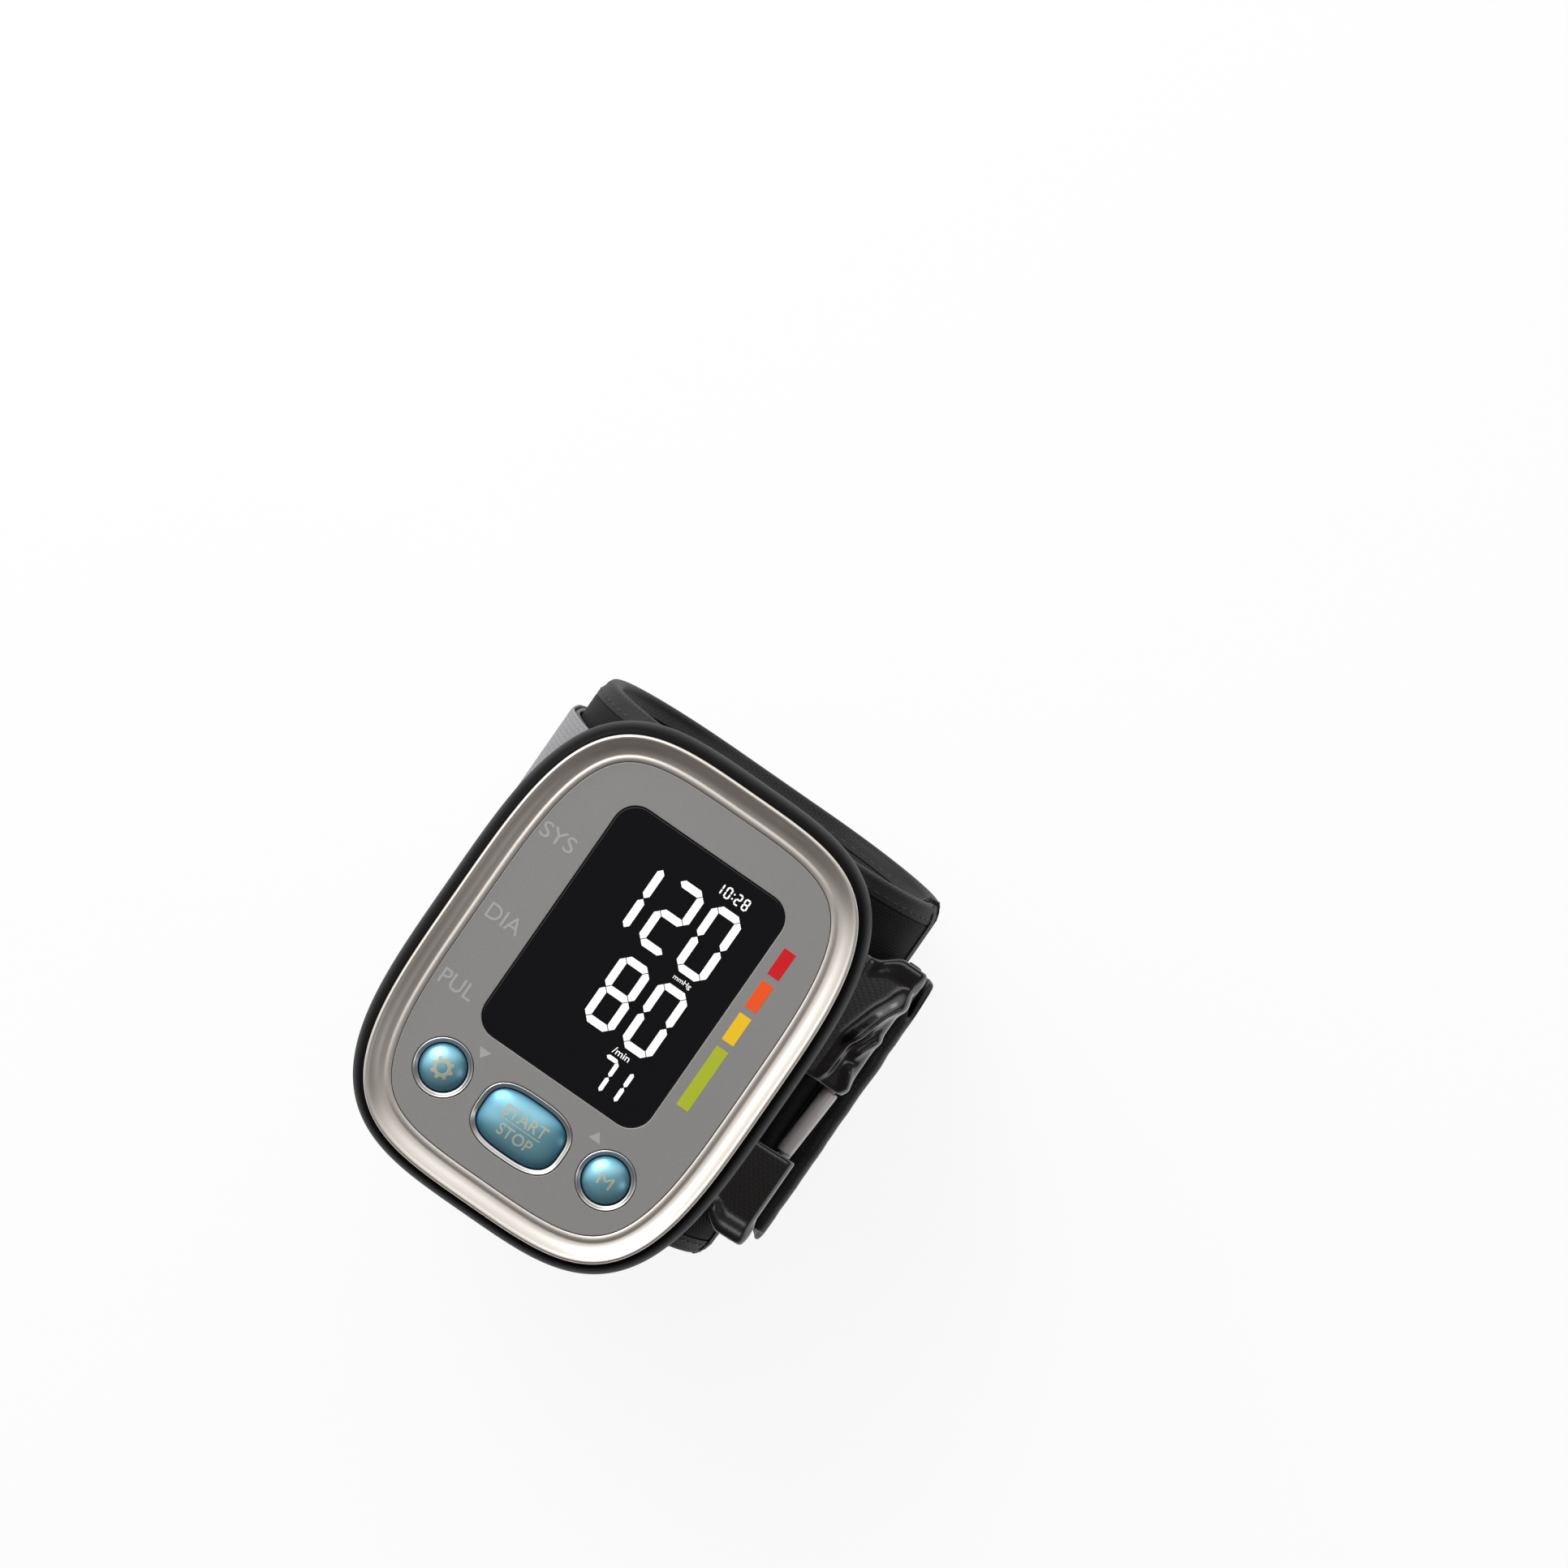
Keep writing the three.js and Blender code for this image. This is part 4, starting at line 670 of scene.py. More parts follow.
def stitched(name, lines):
    """Stitches along seam lines."""
    thread = finish("sewing_thread")
    mesh = grown(name, line_mesh("seams", lines), "seam_stitches", Pitch=cuff().stitch_pitch,
                 Length=cuff().stitch_length, Width=cuff().stitch_width, Material=thread)
    piece(name, finished(mesh, 60), thread)


def varied(bench, tone, pattern, middle, share):
    """Tone that a pattern makes lighter and darker about its middle."""
    shift = bench.math("MULTIPLY", bench.math("SUBTRACT", pattern, middle), share)
    return bench.out("ShaderNodeHueSaturation", {"Value": bench.math("ADD", shift, 1.0), "Color": tone})


def grain_group():
    """Shader group of fine grain, flecks and slow smudges."""
    bench, given = new_tree(
        "surface_grain", "ShaderNodeTree",
        {"Colour": "Color", "Fleck": "Float", "Scale": "Float", "Roughness": "Float", "Smudge": "Float"},
        {"Colour": "Color", "Roughness": "Float", "Height": "Float"})
    place = bench.out("ShaderNodeTexCoord", socket="Object")
    fine = bench.out("ShaderNodeTexNoise", {
        "Vector": place, "Scale": given["Scale"], "Detail": 3.0, "Roughness": 0.6}, "Fac")
    slow = bench.out("ShaderNodeTexNoise", {"Vector": place, "Scale": 90.0, "Detail": 2.0}, "Fac")
    toned = varied(bench, given["Colour"], fine, 0.5, given["Fleck"])
    blur = bench.math("MULTIPLY", bench.math("SUBTRACT", slow, 0.5), given["Smudge"])
    bench.add("NodeGroupOutput", {0: toned, 1: bench.math("ADD", blur, given["Roughness"]), 2: fine})
    return bench.tree


def weave_group():
    """Shader group of a plain weave on a UV map in metres."""
    bench, given = new_tree(
        "plain_weave", "ShaderNodeTree", {"Colour": "Color", "Pitch": "Float", "Contrast": "Float"},
        {"Colour": "Color", "Height": "Float"})
    place = bench.out("ShaderNodeTexCoord", socket="UV")
    split = bench.add("ShaderNodeSeparateXYZ", {0: place}).outputs
    ways = [bench.math("DIVIDE", split[axis], given["Pitch"]) for axis in (0, 1)]
    checks = bench.math("ADD", *[bench.math("FLOOR", way) for way in ways])
    threads = []
    for way in ways:
        wave = bench.math("SINE", bench.math("MULTIPLY", bench.math("FRACT", way), math.pi))
        threads.append(bench.math("POWER", bench.math("MAXIMUM", wave, 0.0), 0.6))
    over = bench.math("PINGPONG", checks, 1.0)
    mixed = bench.out("ShaderNodeMix", {"Factor": over, 2: threads[0], 3: threads[1]})
    stray = bench.out("ShaderNodeTexNoise", {"Vector": place, "Scale": 700.0, "Detail": 2.0}, "Fac")
    height = bench.math("ADD", mixed, bench.math("MULTIPLY", stray, 0.3))
    toned = varied(bench, given["Colour"], height, 0.8, given["Contrast"])
    bench.add("NodeGroupOutput", {0: toned, 1: height})
    return bench.tree


def patterned(name, group, pattern_values, relief, shader_values):
    """Material whose tone, relief and, where the group gives it, roughness come from a shader group."""
    known = bpy.data.materials.get(name)
    if known:
        return known
    coat = bpy.data.materials.new(name)
    coat.use_nodes = True
    bench = Bench(coat.node_tree)
    given = bench.add("ShaderNodeGroup", pattern_values, node_tree=group).outputs
    bump = bench.out("ShaderNodeBump", {"Strength": 1.0, "Distance": relief * MM, "Height": given["Height"]})
    inputs = {"Base Color": given["Colour"], "Normal": bump, **shader_values}
    if "Roughness" in given:
        inputs["Roughness"] = given["Roughness"]
    bench.fill(coat.node_tree.nodes["Principled BSDF"], inputs)
    return coat


def grained(name, tone, roughness, fleck, scale, relief, smudge, shader_values):
    """Finish of one colour with grain, flecks and slow smudges."""
    group = bpy.data.node_groups.get("surface_grain") or grain_group()
    values = {"Colour": tone, "Fleck": fleck, "Scale": scale, "Roughness": roughness, "Smudge": smudge}
    return patterned(name, group, values, relief, shader_values)


def woven(name, tone, roughness, pitch, contrast, relief, shader_values):
    """Cloth finish with a plain weave that follows the piece."""
    group = bpy.data.node_groups.get("plain_weave") or weave_group()
    values = {"Colour": tone, "Pitch": pitch * MM, "Contrast": contrast}
    return patterned(name, group, values, relief, {"Roughness": roughness, **shader_values})


# Level bars: upper and lower end in millimetres from the face middle
LEVELS = {"red": (23.2, 18.1), "orange": (16.8, 11.6), "yellow": (10.35, 5.0), "green": (3.7, -8.1)}

# Grained: colour setting, roughness, fleck, grain scale, relief in mm, smudge and values of the shader
GRAINED = {
    "case_black_plastic": ("case", 0.42, 0.1, 2600, 0.02, 0.12, {"Specular IOR Level": 0.05}),
    "screw_steel": ("steel", 0.35, 0.15, 3000, 0.01, 0.1, {"Metallic": 1.0}),
    "bezel_satin_silver": ("bezel", 0.45, 0.1, 4000, 0.006, 0.08, {"Metallic": 0.92}),
    "face_metallic_grey": ("face", 0.5, 0.3, 5200, 0.01, 0.06, {"Metallic": 0.25}),
    "window_smoked_gloss": ("window", 0.06, 0.05, 3000, 0.0002, 0.03,
                            {"Coat Weight": 0.4, "Coat Roughness": 0.04}),
    "display_figures": ("digit", 0.5, 0.05, 3000, 0.001, 0.05, {"Emission Strength": 0.3}),
    **{f"level_{tone}": (tone, 0.4, 0.06, 3000, 0.002, 0.1, {}) for tone in LEVELS},
    "face_sign_grey": ("label", 0.55, 0.1, 4000, 0.002, 0.06, {}),
    # The key pearl also carries painted shade, a darker tone towards the dome edge, added in
    # MONITOR_OT_keys.pearl
    "key_blue_pearl": ("key", 0.36, 0.1, 5000, 0.004, 0.06,
                       {"Metallic": 0.62, "Coat Weight": 1.0, "Coat Roughness": 0.3}),
    "key_ring_silver": ("ring", 0.28, 0.1, 4000, 0.005, 0.08, {"Metallic": 0.9}),
    "key_sign_tan": ("legend", 0.45, 0.08, 4000, 0.002, 0.08, {}),
    "sewing_thread": ("thread", 0.6, 0.3, 9000, 0.03, 0.05, {}),
    "ring_black_coat": ("wire", 0.35, 0.1, 3000, 0.01, 0.1, {}),
    "bar_bright_steel": ("bar", 0.35, 0.08, 3000, 0.005, 0.1, {"Metallic": 0.1}),
    "cell_dark_jacket": ("cell", 0.35, 0.1, 1800, 0.004, 0.1, {}),
}

# Woven: colour setting, roughness, weave pitch in mm, contrast, relief in mm and values of the shader
WOVEN = {
    "cuff_black_nylon": ("cover", 0.62, 0.55, 0.5, 0.04, {"Sheen Weight": 0.01, "Specular IOR Level": 0.12}),
    "cuff_soft_lining": ("lining", 0.85, 0.8, 0.5, 0.06, {"Sheen Weight": 0.08, "Specular IOR Level": 0.2}),
    "cuff_edge_tape": ("tape", 0.55, 0.7, 0.45, 0.04, {"Sheen Weight": 0.02, "Specular IOR Level": 0.25}),
    "strap_satin_black": ("strap", 0.42, 0.6, 0.3, 0.02,
                          {"Coat Weight": 0.15, "Coat Roughness": 0.25, "Specular IOR Level": 0.25}),
    "tab_glossy_black": ("strap", 0.3, 0.6, 0.3, 0.01,
                         {"Coat Weight": 0.9, "Coat Roughness": 0.16, "Specular IOR Level": 0.4}),
    "panel_grey_weave": ("panel", 0.7, 0.9, 0.5, 0.06, {"Sheen Weight": 0.2}),
}


def finish(name):
    """Finish of the two tables by its name."""
    make, table = (woven, WOVEN) if name in WOVEN else (grained, GRAINED)
    tone, *values = table[name]
    return make(name, getattr(colours(), tone), *values)


def measured(node):
    """Middle and half size of a node's box."""
    low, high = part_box(node)
    return (low + high) / 2, (high - low) / 2


class Shell:
    """Measures of the case that the frame gives."""

    def __init__(self):
        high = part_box("front_housing")[1]
        self.half_x = high.x
        self.half_y = high.y
        self.rim_top = high.z
        self.face_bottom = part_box("face_panel")[0].z
        self.face_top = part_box("face_panel")[1].z
        self.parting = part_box("rear_case")[1].z
        self.bottom = self.parting + case().parting_gap

    def outline(self, inset, count=240):
        """Case outline at an inset."""
        return outline(self.half_x, self.half_y, case().squareness, inset, count=count)

    def stack(self, name, rows):
        """Solid over case outlines, each at an inset and a height."""
        return loft(name, [raised(self.outline(inset), height) for inset, height in rows])

    def window(self, outset, corner):
        """Outline of the window, moved outwards."""
        centre, half = measured("display_window")
        return rounded(half.x + outset, half.y + outset, corner, centre)

    def flank(self, inset):
        """Insets and heights down the side of the lower case."""
        values = case()
        foot = self.parting - values.edge_break
        return [(values.edge_break + inset, self.parting)] + [
            (inset + values.flank_draw * (1 - across), foot - values.flank_drop * up)
            for across, up in quarter(18, 1)]


class Key:
    """Place and outline of one key."""

    def __init__(self, name):
        centre, half = measured(f"{name}_button_ring")
        outset = keys().ring_outset + keys().ring_width
        self.centre = centre.xy
        self.half_x = half.x - outset
        self.half_y = half.y - outset
        self.squareness = keys().start_squareness if name == "start_stop" else 2.0

    def outline(self, inset=0.0, share=1.0, grow=0.0, count=128):
        """Key outline at an inset, with its half sizes scaled and grown."""
        return outline(self.half_x * share + grow, self.half_y * share + grow, self.squareness, inset,
                       self.centre, count)


class MONITOR_OT_housing(bpy.types.Operator):
    """Makes the upper housing with its rounded rim"""

    bl_idname = "monitor.housing"
    bl_label = "Housing"

    def execute(self, context):
        """Lofts the housing and cuts its hollow and openings."""
        shell = Shell()
        values = case()
        foot = shell.bottom
        height = shell.rim_top - foot
        softened = 0.3 * values.edge_break
        rows = [(values.edge_break, foot), (softened, foot + softened), (0.0, foot + values.edge_break)]
        rows += [(values.rim_width * (1 - across), foot + height * up) for across, up in quarter(14, 1)]
        plate_top = shell.rim_top - values.shoulder_drop
        plate_bottom = plate_top - values.plate_thickness
        rows.append((values.shoulder_inset, plate_top))
        past = 1.0 * MM
        vault = 2.0 * MM
        hollow = shell.stack("hollow", [
            (values.wall, foot - past), (values.wall, plate_bottom - vault),
            (values.shoulder_inset, plate_bottom)])
        mesh = carved(shell.stack("housing", rows), hollow)
        window_ledge = 1.0 * MM
        key_gap = 0.2 * MM
        outlines = [shell.window(-window_ledge, values.wall)]
        outlines += [Key(name).outline(grow=key_gap, count=96) for name in KEY_NAMES]
        openings = [slab("opening", points, plate_bottom - past, plate_top + past) for points in outlines]
        mesh = finished(carved(mesh, joined("openings", openings)), 40)
        piece("case_rim", mesh, finish("case_black_plastic"), ["front_housing"])
        return {"FINISHED"}


class MONITOR_OT_lower_case(bpy.types.Operator):
    """Makes the lower case, the battery cover and the case screws"""

    bl_idname = "monitor.lower_case"
    bl_label = "Lower case"

    def execute(self, context):
        """Lofts the shell, cuts the saddle and splits off the battery cover."""
        shell = Shell()
        values = case()
        loop = CuffLoop()
        past = 1.0 * MM
        (mouth, mouth_top), *inside = shell.flank(values.wall)
        hollow = shell.stack("hollow", [(mouth, mouth_top + past)] + inside)
        hollow = carved(hollow, loop.prism("floor", values.floor_radius))
        mesh = carved(shell.stack("lower", shell.flank(0)), hollow)
        mesh = carved(mesh, loop.prism("saddle", values.saddle_radius))
        cover = carved(mesh.copy(), self.bay(0.0), "INTERSECT")
        mesh = carved(mesh, self.bay(values.door_gap))
        drill_gap = 0.15 * MM
        drill_depth = 30 * MM
        drills = []
        places = []
        for node in SCREW_NODES:
            low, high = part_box(node)
            centre = ((low.x + high.x) / 2, (low.y + high.y) / 2)
            places.append([(*centre, low.z + values.screw_height / 2)])
            drills.append(slab("drill", disc(values.screw_head + drill_gap, centre, 40),
                               low.z - drill_depth, low.z + values.screw_height))
        mesh = carved(mesh, joined("drills", drills))
        black = finish("case_black_plastic")
        piece("rear_shell", finished(mesh, 40), black, ["rear_case"])
        piece("battery_door_shell", finished(cover, 40), black, ["battery_cover"],
              "battery_door")
        self.ribs(shell, black)
        steel = finish("screw_steel")
        heads = grown("case_screw_heads", line_mesh("places", places), "case_screws",
                      Radius=values.screw_head, Height=values.screw_height, Material=steel)
        piece("case_screw_heads", finished(heads), steel, SCREW_NODES)
        return {"FINISHED"}

    def bay(self, gap):
        """Block over the battery cover with a gap round it, open to the left."""
        low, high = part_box("battery_cover")
        past = 5 * MM
        corners = rectangle(low.x - past, low.y - gap, high.x + gap, high.y + gap)
        return slab("bay", corners, low.z - gap, high.z + gap)

    def ribs(self, shell, black):
        """Grip ribs that follow the outside of the battery cover."""
        low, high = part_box("battery_cover")
        middle = (low.y + high.y) / 2
        first_rib = low.z + 2.2 * MM
        pitch = 1.6 * MM
        reach = 5.5 * MM
        sink = 0.08 * MM
        profile = shell.flank(0)
        lines = []
        for row in range(5):
            height = first_rib + pitch * row
            for (inset, top), (next_inset, foot) in zip(profile, profile[1:]):
                if top >= height > foot:
                    inset += (next_inset - inset) * (top - height) / (top - foot)
                    break
            edge = shell.outline(inset + sink, count=720)
            lines.append([(x, y, height) for x, y in edge if x < 0 and abs(y - middle) < reach])
        mesh = grown("battery_door_ribs", line_mesh("lines", lines), "grip_ribs",
                     Radius=case().rib_radius, Material=black)
        piece("battery_door_ribs", finished(mesh), black, body="battery_door")


class MONITOR_OT_front(bpy.types.Operator):
    """Makes the bezel, the face plate and the window"""

    bl_idname = "monitor.front"
    bl_label = "Bezel, face and window"

    def execute(self, context):
        """Sweeps the dished bezel and cuts the flat plates."""
        shell = Shell()
        values = front()
        silver = finish("bezel_satin_silver")
        ring = outline_ring("bezel_ring", self.bezel_section(shell), silver, shell.half_x, shell.half_y,
                            case().squareness)
        piece("bezel_ring", ring, silver, ["front_bezel"])
        gap = values.window_gap
        key_outset = keys().ring_outset + keys().ring_width + 0.1 * MM
        outlines = [shell.outline(values.face_inset), shell.window(gap, values.window_corner + gap)]
        outlines += [Key(name).outline(-key_outset, count=120) for name in KEY_NAMES]
        face_bevel = 0.15 * MM
        plate = flat_plate("face_plate", outlines, shell.face_bottom, shell.face_top, face_bevel)
        piece("face_plate", plate, finish("face_metallic_grey"), ["face_panel"])
        low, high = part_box("display_window")
        pane_bevel = 0.2 * MM
        outlines = [shell.window(0.0, values.window_corner)]
        pane = flat_plate("window_pane", outlines, low.z, high.z, pane_bevel)
        piece("window_pane", pane, finish("window_smoked_gloss"), ["display_window"])
        return {"FINISHED"}

    def bezel_section(self, shell):
        """Section of the bezel: lip, dished slope, groove, bead and underside."""
        values = front()
        start = values.bezel_inset
        end = start + values.bezel_width
        top = shell.face_top
        lip = top + values.lip_rise
        lip_round = 0.45 * MM
        dish = 0.35 * MM
        section = [(start, self.shoulder(shell, start))]
        section += [(start + lip_round * (1 - across), lip - lip_round * (1 - up))
                    for across, up in quarter(6)]
        crest = Vector((start + 0.8 * MM, lip - 0.12 * MM))
        valley = Vector((start + 3.25 * MM, top - values.valley_drop))
        for step in range(13):
            share = step / 12
            spot = crest.lerp(valley, share)
            section.append((spot.x, spot.y - dish * math.sin(math.pi * share)))
        bead_start = valley.x + 0.15 * MM
        middle = (bead_start + end) / 2
        bead_height = top + values.bead_rise - valley.y
        for step in range(9):
            share = step / 4 - 1
            section.append((middle + (end - middle) * share, valley.y + bead_height * (1 - share * share)))
        section.append((end, self.shoulder(shell, end)))
        return section

    def shoulder(self, shell, inset):
        """Underside of the bezel, just above the sloping shoulder."""
        values = case()
        clearance = 0.02 * MM
        slope = values.shoulder_drop / (values.shoulder_inset - values.rim_width)
        return shell.rim_top - slope * (inset - values.rim_width) + clearance


STROKES = {"0": "abcdef", "1": "bc", "2": "abged", "7": "abc", "8": "abcdefg"}


def figure_bars(figure, x, y, size, low, high):
    """Bars of one seven stroke figure about a place; the size is its width, height and stroke."""
    width, height, stroke = size
    half_x = (width - stroke) / 2
    half_y = (height - stroke) / 2
    thick = stroke / 2
    spots = {"a": (0, half_y, 0), "g": (0, 0, 0), "d": (0, -half_y, 0), "b": (half_x, half_y / 2, 1),
             "c": (half_x, -half_y / 2, 1), "f": (-half_x, half_y / 2, 1), "e": (-half_x, -half_y / 2, 1)}
    bars = []
    for letter in STROKES[figure]:
        across, up, standing = spots[letter]
        reach = (half_y / 2 if standing else half_x) - 0.07 * stroke
        bar = [(-reach, 0), (-reach + thick, -thick), (reach - thick, -thick), (reach, 0),
               (reach - thick, thick), (-reach + thick, thick)]
        if standing:
            bar = [(-down, right) for right, down in bar]
        bars.append(slab("bar", [(x + across + right, y + up + down) for right, down in bar], low, high))
    return bars


class MONITOR_OT_signs(bpy.types.Operator):
    """Makes the lit figures, the level bars and the signs on the face"""

    bl_idname = "monitor.signs"
    bl_label = "Signs"

    def execute(self, context):
        """Sets thin printed shapes on the window and the face."""
        thin = front().print_height
        top = Shell().face_top
        lit = finish("display_figures")
        lit.node_tree.nodes["Principled BSDF"].inputs["Emission Color"].default_value = colours().digit
        piece("display_figures", self.figures(thin), lit)
        place_x = 19.8 * MM
        half_width = 1.15 * MM
        corner = 0.12 * MM
        bevel = 0.01 * MM
        for tone, (high, low) in LEVELS.items():
            centre = (place_x, (high + low) / 2 * MM)
            edge = rounded(half_width, (high - low) / 2 * MM, corner, centre, 3)
            strip = flat_plate("level", [edge], top, top + thin, bevel)
            piece(f"level_bar_{tone}", strip, finish(f"level_{tone}"))
        piece("face_signs", self.labels(top, thin), finish("face_sign_grey"))
        return {"FINISHED"}

    def figures(self, thin):
        """Lit figures, dots and units, at places in millimetres from the face middle."""
        values = front()
        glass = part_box("display_window")[1].z
        large = (values.digit_width, values.digit_height, values.digit_stroke)
        small = (3.1 * MM, 6.4 * MM, 0.75 * MM)
        tiny = (1.1 * MM, 2.1 * MM, 0.28 * MM)
        rows = ((large, 16.6, (("1", -7.33), ("2", 0.56), ("0", 8.04))),
                (large, 1.2, (("8", 0.35), ("0", 7.95))),
                (small, -10.8, (("7", 5.8), ("1", 8.85))),
                (tiny, 25.3, (("1", 4.3), ("0", 5.9), ("2", 7.9), ("8", 9.4))))
        bars = []
        for size, y, figures in rows:
            for figure, x in figures:
                bars += figure_bars(figure, x * MM, y * MM, size, glass, glass + thin)
        dot_radius = 0.16 * MM
        for y in (25.7, 24.9):
            bars.append(slab("dot", disc(dot_radius, (6.9 * MM, y * MM), 12), glass, glass + thin))
        for text, width, height, x, y in (("mmHg", 3.4, 1.1, 8.0, 8.9), ("/min", 3.2, 1.2, 6.6, -6.5)):
            bars.append(words(text, width * MM, height * MM, (x * MM, y * MM), glass, thin))
        return joined("figures", bars)

    def labels(self, top, thin):
        """Row names and arrows on the face, at places in millimetres from its middle."""
        width = 6.4 * MM
        height = 2.8 * MM
        labels = [words(text, width, height, (x * MM, y * MM), top, thin)
                  for text, x, y in (("SYS", -22.3, 16.9), ("DIA", -21.9, 0.8), ("PUL", -22.1, -12.45))]
        half = 1.15
        for x, y, rise in ((-12.15, -19.5, -0.85), (11.0, -19.9, 0.85)):
            corners = ((x - half, y - rise), (x + half, y - rise), (x, y + rise))
            labels.append(slab("arrow", [(a * MM, b * MM) for a, b in corners], top, top + thin))
        return joined("signs", labels)


class MONITOR_OT_keys(bpy.types.Operator):
    """Makes the three pearl keys, their rings and their signs"""

    bl_idname = "monitor.keys"
    bl_label = "Keys"

    def execute(self, context):
        """Lofts a domed cap with its lip and stem for each key."""
        shell = Shell()
        trim = finish("key_ring_silver")
        pearl = self.pearl(shell)
        for name in KEY_NAMES:
            key = Key(name)
            cap = self.cap(name, key, shell)
            piece(f"{name}_cap", cap, pearl, [f"{name}_button"], f"{name}_key")
            ring = outline_ring(f"{name}_well", self.well_section(shell, name), trim, key.half_x, key.half_y,
                                key.squareness, key.centre, 128)
            piece(f"{name}_well", ring, trim, [f"{name}_button_ring"])
        thin = 0.06 * MM
        for name, shapes in zip(KEY_NAMES, (self.gear, self.letter, self.start_words)):
            key = Key(name)
            sign = joined(f"{name}_sign", shapes(*key.centre, shell.face_top, thin))
            self.drape(sign, key)
            piece(f"{name}_sign", sign, finish("key_sign_tan"), body=f"{name}_key")
        return {"FINISHED"}

    def pearl(self, shell):
        """Pearl of the keys with painted shade: a darker tone at the edge that clears up the dome, standing
        in for the shading on the steep sides.
        """
        coat = finish("key_blue_pearl")
        nodes = coat.node_tree.nodes
        bench = Bench(coat.node_tree)
        edge = shell.face_top + keys().edge_proud
        # Painted shade: the base colour runs from the darker shade tone at the key edge to the plain pearl
        # higher up the dome
        place = bench.out("ShaderNodeTexCoord", socket="Object")
        painted_shade_climb = bench.out("ShaderNodeMapRange", {
            "Value": bench.out("ShaderNodeSeparateXYZ", {0: place}, 2), "From Min": edge,
            "From Max": edge + 0.9 * keys().dome}, interpolation_type="SMOOTHSTEP")
        plain = nodes["Group"].outputs["Colour"]
        tone = bench.out("ShaderNodeMix", {"Factor": painted_shade_climb, 6: colours().key_painted_shade, 7: plain}, 2,
                         data_type="RGBA")
        bench.fill(nodes["Principled BSDF"], {"Base Color": tone})
        return coat

    def well_section(self, shell, name):
        """Section of a ring that slopes down to its key; insets are negative outwards."""
        values = keys()
        inner = -values.ring_outset
        outer = -(values.ring_outset + values.ring_width)
        edge = 0.15 * MM
        top = shell.face_top + values.ring_proud
        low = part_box(f"{name}_button_ring")[0].z
        section = [(outer, low), (outer, top - edge)]
        section += [(outer + edge * (1 - across), top - edge * (1 - up)) for across, up in quarter(4)]
        drop = values.ring_sink + values.ring_proud
        for step in range(1, 9):
            share = step / 8
            section.append((outer + edge + (inner - outer - edge) * share,
                            top - drop * math.sin(math.pi / 2 * share) ** 1.3))
        section.append((inner, low))
        return section

    def cap(self, name, key, shell):
        """Domed cap with a lip below the plate and a stem."""
        values = keys()
        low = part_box(f"{name}_button")[0].z
        lip_foot = shell.face_top - 4.55 * MM
        lip_top = shell.face_top - 3.3 * MM
        edge = shell.face_top + values.edge_proud
        stem = disc(values.stem, key.centre, 128)
        lip = key.outline(-values.travel_lip)
        side = key.outline()
        rings = [raised(points, height) for points, height in (
            (stem, low), (stem, lip_foot), (lip, lip_foot), (lip, lip_top), (side, lip_top),
            (side, edge - 0.25 * MM), (side, edge + self.rise(1.0)))]
        shares = [across ** 0.9 for across, _ in quarter(22, 1)[:-1]] + [0.01]
        rings += [raised(key.outline(share=share), edge + self.rise(share)) for share in shares]
        return loft(f"{name}_cap", rings, 45)

    def rise(self, share):
        """Height of the dome above the key's edge at a share of the way out."""
        shoulder = 0.1 * MM
        return (keys().dome + shoulder) * (1 - share ** 2.0) ** 0.62 - shoulder

    def gear(self, x, y, low, thin):
        """Ring with eight lobes."""
        edge = []
        for step, (across, up) in enumerate(circle(96)):
            reach = (1.75 + 0.25 * math.tanh(3 * math.cos(8 * 2 * math.pi * step / 96))) * MM
            edge.append((x + reach * across, y + reach * up))
        hole = disc(0.9 * MM, (x, y), 48)
        return [flat_plate("gear", [edge, hole], low, low + thin, 0.005 * MM)]

    def letter(self, x, y, low, thin):
        """Letter of the memory key."""
        return [words("M", 2.6 * MM, 2.1 * MM, (x, y), low, thin, 0.0)]

    def start_words(self, x, y, low, thin):
        """Two words with a bar between them."""
        weight = 0.012
        half_x = 3.9 * MM
        half_y = 0.09 * MM
        bar = rectangle(x - half_x, y - half_y, x + half_x, y + half_y)
        return [words("START", 8.3 * MM, 2.15 * MM, (x, y + 1.5 * MM), low, thin, weight),
                words("STOP", 6.5 * MM, 2.1 * MM, (x, y - 1.7 * MM), low, thin, weight),
                slab("bar", bar, low, low + thin)]

    def drape(self, mesh, key):
        """Lays a flat sign on the dome of its key, a little sunk."""
        sink = 0.03 * MM
        work = bmesh.new()
        work.from_mesh(mesh)
        bmesh.ops.triangulate(work, faces=work.faces)
        long_edges = [edge for edge in work.edges if edge.calc_length() > 0.5 * MM]
        bmesh.ops.subdivide_edges(work, edges=long_edges, cuts=3, use_grid_fill=True)
        bmesh.ops.triangulate(work, faces=work.faces)
        power = key.squareness
        for vertex in work.verts:
            x = abs(vertex.co.x - key.centre[0]) / key.half_x
            y = abs(vertex.co.y - key.centre[1]) / key.half_y
            share = min(1.0, (x ** power + y ** power) ** (1 / power))
            vertex.co.z += keys().edge_proud + self.rise(share) - sink
        settled(work, mesh, 40)


